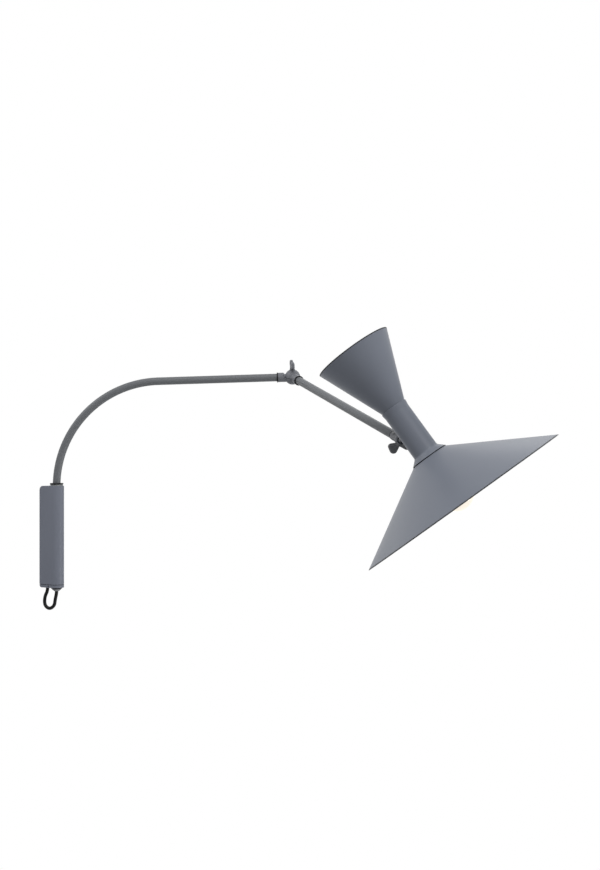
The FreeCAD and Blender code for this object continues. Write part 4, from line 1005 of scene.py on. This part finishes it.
def whole_clamp(name):
    cup = on_circle(CUP_RADIUS, -degrees(asin(CUP_FOOT / CUP_RADIUS)), LIP_ANGLE, 10)
    seat = on_circle(BALL_SEAT, LIP_ANGLE, -90.0, 14)
    cup[-1] += (0.12,)
    seat[0] += (0.12,)
    return spun(name, [
        (0, -15.8), (4.28, -15.8), (4.28, -17.3), (SPIGOT_BORE, -17.3), (SPIGOT_BORE, -19.0, 0.15),
        (6.8, -19.0, 0.55), *cup, *seat[:-1], (0, -BALL_SEAT),
    ], closed=False)


# %% Both halves of the clamp
SAW_HALF_WIDTH = 0.4
CLAMP_BORE = 2.08
CLAMP_DEPTH = 20.0
SCREW_SEAT_HEIGHT = 5.6
CLAMP_NUT_FLATS = 7.0
CLAMP_NUT_FLOOR = 4.5
AT_SCREW = put(CLAMP_SCREW_AT, 0, 0)

for name, side in (("ClampUpperHalf", 1), ("ClampLowerHalf", -1)):
    half = whole_clamp(name)
    fix_place(half, ALONG_X)
    edit(half)
    bpy.ops.mesh.bisect(plane_co=(0, 0, SAW_HALF_WIDTH * side), plane_no=(0, 0, side), clear_inner=True,
                        use_fill=True)
    drill(half, CLAMP_BORE, -CLAMP_DEPTH, CLAMP_DEPTH, AT_SCREW)
    low, high = sorted((SCREW_SEAT_HEIGHT * side, CLAMP_DEPTH * side))
    drill(half, SEAT_RADIUS, low, high, AT_SCREW)
    if side > 0:
        combine(half, hexagon(CLAMP_NUT_FLATS + NUT_PLAY, CLAMP_NUT_FLOOR, 10.0, AT_SCREW), "DIFFERENCE")
    soften(half, 0.18)
    settle(half, AT_CLAMP, "clamp", joint_paint)

# %% [markdown]
# Nuts are sawn from hexagon bar, and their corners are turned off at about 30 degrees, which leaves the
# curved edge that makes a nut look like one. A spun shape that meets a six-sided prism does the same.

# %% Hexagon nuts
def hex_nut(name, flats, low, high, bore):
    nut = hexagon(flats, low, high)
    nut.name = name
    inside = flats / 2 + 0.05
    outside = flats / sqrt(3) + 0.3
    corners_off = spun("CornersOff", [
        (0, low - 0.01), (inside, low - 0.01), (outside, low + 0.6), (outside, high - 0.6),
        (inside, high + 0.01), (0, high + 0.01),
    ], steps=64, closed=False)
    combine(nut, corners_off, "INTERSECT")
    drill(nut, bore, low - 2, high + 2)
    soften(nut, 0.1)
    return nut


elbow_nut = hex_nut("ElbowNut", ELBOW_NUT_FLATS, 7.8, 10.8, SCREW_BORE)
settle(elbow_nut, AT_INNER_KNUCKLE, "elbow_base", zinc_steel)
clamp_nut = hex_nut("ClampNut", CLAMP_NUT_FLATS, CLAMP_NUT_FLOOR, 6.9, CLAMP_BORE)
settle(clamp_nut, AT_CLAMP @ shift(CLAMP_SCREW_AT, 0, 0), "clamp", blackened_steel, slot="black_metal")

# %% [markdown]
# ## The ball stud
#
# The head hangs on a turned stud with a blackened ball, which the clamp grips. Ball, neck, flange and shank
# are one profile.

# %% Ball stud
BALL_RADIUS = 5.2
SHANK_RADIUS = 4.0
SHANK_END = 23.15

stud = spun("BallStud", on_circle(BALL_RADIUS, -76.6, 64.97, 22) + [
    (2.2, 10.4), (5.0, 10.4, 0.25), (5.0, 11.6, 0.25), (SHANK_RADIUS, 11.6), (SHANK_RADIUS, SHANK_END, 0.5),
    (1.2, SHANK_END),
])
settle(stud, AT_STUD @ ALONG_X, "stud", blackened_steel, slot="black_metal")

# %% Saddle between the stud and the round barrel
BARREL_RADIUS = 17.3
STUD_BORE = 4.08
TO_THE_STUD = turn("Y", -90)

saddle = spun("StudSaddle", [
    (STUD_BORE, 9.0), (8.5, 9.0), (8.5, 15.3), (6.5, 19.25, 0.5), (STUD_BORE, 19.25),
])
fix_place(saddle, TO_THE_STUD)
drill(saddle, BARREL_RADIUS + 0.02, -30, 30, Matrix.Identity(4), 160)
soften(saddle, 0.15)
settle(saddle, AT_HEAD, "head", joint_paint)

# %% [markdown]
# ## The head
#
# Barrel and cones are spun from aluminium sheet. The barrel flares out below with a soft fillet, because
# sheet that is spun over a former never turns a sharp inner corner, and a small lip above takes the upper
# cone. The rims are only as thick as the sheet, with their edges broken.

# %% Barrel with its lip and its flared foot
HOLDER_HOLE = 12.9
BARREL_INSIDE = 16.1
BARREL_TOP = 36.4
BRIDGE_HEIGHT = 29.1
FOOT_FLOOR = -39.4
FOOT_BOTTOM = -40.6

barrel = spun("HeadBody", [
    (17.15, BARREL_TOP, 0.2), (18.35, BARREL_TOP, 0.4), (BARREL_RADIUS, BRIDGE_HEIGHT, 3.0),
    (BARREL_RADIUS, -33.4, 4.0), (25.1, FOOT_BOTTOM, 0.35), (HOLDER_HOLE, FOOT_BOTTOM),
    (HOLDER_HOLE, FOOT_FLOOR), (22.18, FOOT_FLOOR, 0.5), (BARREL_INSIDE, -32.9, 3.0),
    (BARREL_INSIDE, BRIDGE_HEIGHT),
], steps=192)
drill(barrel, STUD_BORE, 5, 30, TO_THE_STUD)
settle(barrel, AT_HEAD, "head", head_paint)

# %% [markdown]
# A cone is one closed shell with three finishes. The faces between the rim and the ring beside it get
# a near-black painted shade, the dark outline of a rim seen edge-on, those that look at the lamp's axis
# and the cone's floor get the lining, the rest the enamel.

# %% Lining and painted rim shade of a cone
# height of the band of painted shade along each cone's rim
RIM_SHADE_BAND = 1.5
RIM_LEAST_RADIUS = 50.0
CONE_FLOOR_RADIUS = 28.0


def line_inside(piece, outward, rim_height):
    """Gives a cone that opens upwards (1) or downwards (-1) its lining and the painted shade on its rim."""
    for finish in (head_paint, cone_lining, painted_rim_and_seam_shade):
        piece.data.materials.append(finish)

    def is_lining(face):
        middle = face.calc_center_median()
        looks_inwards = face.normal.xy.dot(middle.xy) < -0.05 * middle.xy.length
        is_floor = face.normal.z * outward > 0.999 and middle.xy.length < CONE_FLOOR_RADIUS
        return middle.xy.length > HOLDER_HOLE + 0.3 and looks_inwards or is_floor

    # painted shade: the faces next to the rim get the near-black finish, the outline of a rim seen edge-on
    def is_rim_shade(face):
        middle = face.calc_center_median()
        return abs(middle.z - rim_height) < RIM_SHADE_BAND and middle.xy.length > RIM_LEAST_RADIUS

    edit(piece)
    for index, test in ((1, is_lining), (2, is_rim_shade)):
        print(piece.name, test.__name__, pick(piece, "FACE", test), "faces")
        piece.active_material_index = index
        bpy.ops.object.material_slot_assign()


# %% Cones and the gasket between them
UPPER_MOUTH = 125.3
LOWER_MOUTH = -113.5
GASKET_BOTTOM = -41.4

upper_cone = spun("UpperCone", [
    (HOLDER_HOLE, 31.1), (16.29, 31.1, 0.4), (17.05, BARREL_TOP), (52.58, UPPER_MOUTH - RIM_SHADE_BAND),
    (53.2, UPPER_MOUTH, 0.45), (52.12, UPPER_MOUTH, 0.45), (15.97, BARREL_TOP), (15.29, 32.1, 0.3),
    (HOLDER_HOLE, 32.1),
], steps=256)
line_inside(upper_cone, 1, UPPER_MOUTH)
settle(upper_cone, AT_HEAD, "head", head_paint)

lower_cone = spun("LowerCone", [
    (HOLDER_HOLE, GASKET_BOTTOM), (24.8, GASKET_BOTTOM, 0.4), (144.95, LOWER_MOUTH + RIM_SHADE_BAND),
    (147.5, LOWER_MOUTH, 0.3), (145.53, LOWER_MOUTH, 0.3), (24.53, -42.4, 0.3), (HOLDER_HOLE, -42.4),
], steps=320)
line_inside(lower_cone, -1, LOWER_MOUTH)
settle(lower_cone, AT_HEAD, "head", head_paint)

gasket = spun("NeckGasket", [
    (HOLDER_HOLE, GASKET_BOTTOM), (25.4, GASKET_BOTTOM, 0.3), (25.4, FOOT_BOTTOM, 0.3),
    (HOLDER_HOLE, FOOT_BOTTOM),
], steps=128)
settle(gasket, AT_HEAD, "head", black_plastic)

# %% [markdown]
# ## Lampholders and their rings
#
# A lampholder is a round moulding: a base with a rounded foot, a shoulder, and a skirt with a coarse
# thread, on which a ring clamps the shade. The thread is so shallow that plain grooves in the profile look
# the same. The ring has finger grips, made by pushing strips of its outside inwards.

# %% Where the two lampholders stand
AT_UPPER_HOLDER = AT_HEAD @ shift(0, 0, BRIDGE_HEIGHT)
AT_LOWER_HOLDER = AT_HEAD @ shift(0, 0, FOOT_FLOOR) @ turn("X", 180)


def both(piece, finish, smooth=32.0):
    """Settles a piece in the lower lampholder and a copy of it in the upper one."""
    stem = piece.name
    only(piece)
    bpy.ops.object.duplicate()
    other = bpy.context.object
    for copy, word, place in ((piece, "Lower", AT_LOWER_HOLDER), (other, "Upper", AT_UPPER_HOLDER)):
        copy.name = word + stem
        copy.data.name = word + stem
        settle(copy, place, "head", finish, smooth=smooth)


# %% Lampholders with a threaded skirt
SKIRT_RADIUS = 12.7
SKIRT_TOP = 26.0
THREAD_BOTTOM = 12.25
THREAD_START = 8.2
THREAD_PITCH = 2.1


def threaded_skirt():
    outline = [
        (0, -16.0), (12.2, -16.0, 2.6), (12.2, -1.6, 0.3), (15.2, -1.6, 0.3), (15.2, 0, 0.3),
        (SKIRT_RADIUS, 0),
    ]
    for groove in range(8):
        low = THREAD_START + THREAD_PITCH * groove
        outline += [(SKIRT_RADIUS, low), (THREAD_BOTTOM, low + 0.4), (THREAD_BOTTOM, low + 1.0),
                    (SKIRT_RADIUS, low + 1.4)]
    return outline + [(SKIRT_RADIUS, SKIRT_TOP, 0.5), (9.0, SKIRT_TOP, 0.5), (9.0, 2.0, 0.8), (0, 2.0)]


holder = spun("Lampholder", threaded_skirt(), closed=False)
both(holder, holder_plastic)

# %% Shade rings with finger grips
RING_RADIUS = 14.9
GRIP_LOW = 3.9
GRIP_HIGH = 6.6
GRIP_DEPTH = 0.55
STRIP = 3.75  # degrees of one of the 96 strips round the ring


def shade_ring():
    piece = spun("ShadeRing", [
        (SKIRT_RADIUS, 3.0), (RING_RADIUS, 3.0, 0.25), (RING_RADIUS, GRIP_LOW),
        (RING_RADIUS, GRIP_HIGH), (RING_RADIUS, 7.0, 0.25), (SKIRT_RADIUS, 7.0, 0.25),
    ])
    edit(piece)

    def in_a_grip(face):
        middle = face.calc_center_median()
        strip = int(degrees(atan2(middle.y, middle.x)) % 360 / STRIP)
        outside = middle.xy.length > RING_RADIUS - 0.2
        return outside and GRIP_LOW < middle.z < GRIP_HIGH and strip % 4 < 2
    print("grip faces", pick(piece, "FACE", in_a_grip))
    bpy.ops.mesh.extrude_region_shrink_fatten(TRANSFORM_OT_shrink_fatten={"value": -GRIP_DEPTH})
    soften(piece, 0.12)
    return piece


both(shade_ring(), holder_plastic)

# %% [markdown]
# ## Bulbs
#
# Each bulb is an opal globe drawn down to a neck, in a nickel cap with a rolled thread. The neck's curve
# leaves the globe at its tangent, as blown glass does.

# %% Glass of the bulbs
GLOBE_RADIUS = 22.5
GLOBE_HEIGHT = 60.5
NECK_RADIUS = 8.6
NECK_HEIGHT = 28.0
NECK_STEPS = 9
LEAVE_ANGLE = radians(52.0)


def globe_outline():
    sine, cosine = sin(LEAVE_ANGLE), cos(LEAVE_ANGLE)
    across, up = GLOBE_RADIUS * sine, GLOBE_HEIGHT - GLOBE_RADIUS * cosine
    pulls = [
        (NECK_RADIUS, NECK_HEIGHT), (NECK_RADIUS, NECK_HEIGHT + 5.5),
        (across - 7.0 * cosine, up - 7.0 * sine), (across, up),
    ]
    neck = []
    for i in range(NECK_STEPS):
        t = i / NECK_STEPS
        weights = ((1 - t) ** 3, 3 * t * (1 - t) ** 2, 3 * t * t * (1 - t), t ** 3)
        neck.append(tuple(sum(w * p[axis] for w, p in zip(weights, pulls)) for axis in (0, 1)))
    globe = on_circle(GLOBE_RADIUS, degrees(LEAVE_ANGLE) - 90.0, 90.0, 36, GLOBE_HEIGHT)[:-1]
    return [(0, NECK_HEIGHT), *neck, *globe, (0, GLOBE_HEIGHT + GLOBE_RADIUS)]


both(spun("Bulb", globe_outline(), closed=False), bulb_glass, smooth=80)

# %% Caps of the bulbs
RIDGE_START = 9.2
RIDGE_PITCH = 2.8


def cap_outline():
    outline = [(0, 4.0), (2.4, 4.0, 0.8), (3.0, 5.5), (6.5, 8.0, 0.5)]
    for ridge in range(5):
        low = RIDGE_START + RIDGE_PITCH * ridge
        outline += [(6.3, low - 0.5, 0.5), (6.8, low + 0.9, 0.7)]
    return outline + [
        (6.4, 24.0, 0.4), (NECK_RADIUS, 26.0, 0.5), (NECK_RADIUS, NECK_HEIGHT), (0, NECK_HEIGHT),
    ]


both(spun("BulbCap", cap_outline(), closed=False), cap_nickel)

# %% [markdown]
# ## Finishes of the pieces that stay as they are
#
# Plates, small screws and the hidden hardware keep their CAD shape, which is already right. They only need
# the finish of the real piece, except the cap's side screws, which are painted near black as the shade of
# their shallow holes.

# %% Dress the CAD pieces
ZINC_PLATED = [
    "wall_plate", "cap_screw", "retaining_collar", "retaining_screw", "elbow_inner_screw",
    "elbow_outer_screw", "stud_nut", "inner_saddle", "upper_bridge",
]
KEPT = {node: zinc_steel for node in ZINC_PLATED} | {
    # the cap's side screws get painted shade, near black, for their shallow holes
    "cap_side_screws": screw_painted_shade, "terminal_block": terminal_plastic, "terminal_screws": terminal_brass,
    "elbow_friction_disc": black_plastic, "clamp_spigot": turned_chrome,
}
for node, finish in KEPT.items():
    for material_slot in bpy.data.objects[node].material_slots:
        material_slot.material = finish
print("dressed", len(KEPT), "CAD pieces")

# %% [markdown]
# ## Room and light
#
# The lamp is photographed against white. A white world does that without a backdrop: rays from the camera,
# and those that glossy metal or glass sends out, see pure white, while the light that the world casts
# stays low, so that the soft lamps shape the metal and its undersides stay dark.

# %% World
AMBIENT = 0.16


def sees_white(tree):
    """Adds nodes that say 1 for the camera's rays, and for those that metal or glass sends out."""
    path = tree.nodes.new("ShaderNodeLightPath")
    seen = path.outputs["Is Camera Ray"]
    for name in ("Is Glossy Ray", "Is Transmission Ray"):
        larger = tree.nodes.new("ShaderNodeMath")
        larger.operation = "MAXIMUM"
        tree.links.new(seen, larger.inputs[0])
        tree.links.new(path.outputs[name], larger.inputs[1])
        seen = larger.outputs[0]
    return seen


world = bpy.data.worlds.new("Studio")
bpy.context.scene.world = world
world.use_nodes = True
background = world.node_tree.nodes["Background"]
background.inputs["Color"].default_value = (1, 1, 1, 1)
strength = world.node_tree.nodes.new("ShaderNodeMapRange")
strength.inputs["To Min"].default_value = AMBIENT
world.node_tree.links.new(sees_white(world.node_tree), strength.inputs["Value"])
world.node_tree.links.new(strength.outputs["Result"], background.inputs["Strength"])
print("world casts", AMBIENT)

# %% [markdown]
# A pale floor lies well below the lamp. Its paper glows faintly for the camera, so that it reads as white,
# and near the lamp one part in ten is real light, which keeps the lamp's shadow. Further out that part
# fades away, and with it the line where the floor would end against the white world.

# %% Floor
FLOOR_MIDDLE = (0.4, 0.0, -1.1)
FLOOR_SIZE = 14.0

only()
bpy.ops.mesh.primitive_plane_add(size=FLOOR_SIZE, location=FLOOR_MIDDLE)
floor = bpy.context.object
floor.name = "Floor"
fix_place(floor)
paper = Finish("FloorPaper", Roughness=0.9, Specular_IOR_Level=0.1)
paper.wear(Base_Color=paper.blend(paper.noise(3.0, 2.0), (0.88, 0.88, 0.88, 1), (0.92, 0.92, 0.92, 1)))
glow = paper.node("ShaderNodeEmission", {}, {"Color": (1, 1, 1, 1), "Strength": 1.0})
away = paper.node("ShaderNodeVectorMath", {"operation": "DISTANCE"}, {0: paper.place(), 1: FLOOR_MIDDLE}, 1)
fade = paper.node("ShaderNodeMapRange", {"interpolation_type": "SMOOTHSTEP"}, {
    "Value": away, "From Min": 0.7, "From Max": 1.7, "To Min": 0.9, "To Max": 1.0})
mixed = paper.node("ShaderNodeMixShader", {}, {0: fade * Wire(paper, sees_white(paper.tree))})
paper.tree.links.new(paper.shader.outputs[0], mixed.socket.node.inputs[1])
paper.tree.links.new(glow.socket, mixed.socket.node.inputs[2])
paper.tree.links.new(mixed.socket, paper.tree.nodes["Material Output"].inputs["Surface"])
floor.data.materials.append(paper.material)
floor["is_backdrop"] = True
print("floor ready")

# %% [markdown]
# Large soft lamps do the rest. The key stands to the right of the camera and above it, and another hangs
# high over it. One on the left and a low one on the right draw the soft light bands along the tubes and
# the cones, and two weak ones behind keep the lamp's back from going black.

# %% Soft lamps
LIT_POINT = Vector((0.4, 0.0, 0.12))
LAMP_DISTANCE = 2.7
LAMP_SIZE = 1.4
SOFT_LAMPS = {
    "Key": (-32, 40, 23.5), "High": (-60, 65, 28.0), "Left": (-140, 40, 24.0), "Right": (20, -12, 28.0),
    "BackLeft": (160, 15, 4.0), "BackRight": (100, 40, 5.0),
}

for name, (bearing, rise, power) in SOFT_LAMPS.items():
    away = turn("Z", bearing) @ turn("Y", -rise) @ Vector((1, 0, 0))
    light = bpy.data.lights.new(name, "AREA")
    light.shape = "DISK"
    light.size = LAMP_SIZE
    light.energy = power
    lamp = bpy.data.objects.new(name, light)
    bpy.context.scene.collection.objects.link(lamp)
    lamp.location = LIT_POINT + away * LAMP_DISTANCE
    lamp.rotation_euler = (-away).to_track_quat("-Z", "Y").to_euler()

bpy.context.scene.view_settings.view_transform = "Standard"
print("lamps:", list(SOFT_LAMPS))

# %% [markdown]
# ## Size
#
# The dressed lamp has to stay as large as the CAD model. The last line prints the box of the dressed lamp.

# %% Size of the dressed lamp
low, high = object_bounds()
print("visual box", [round(b - a, 4) for a, b in zip(low, high)])
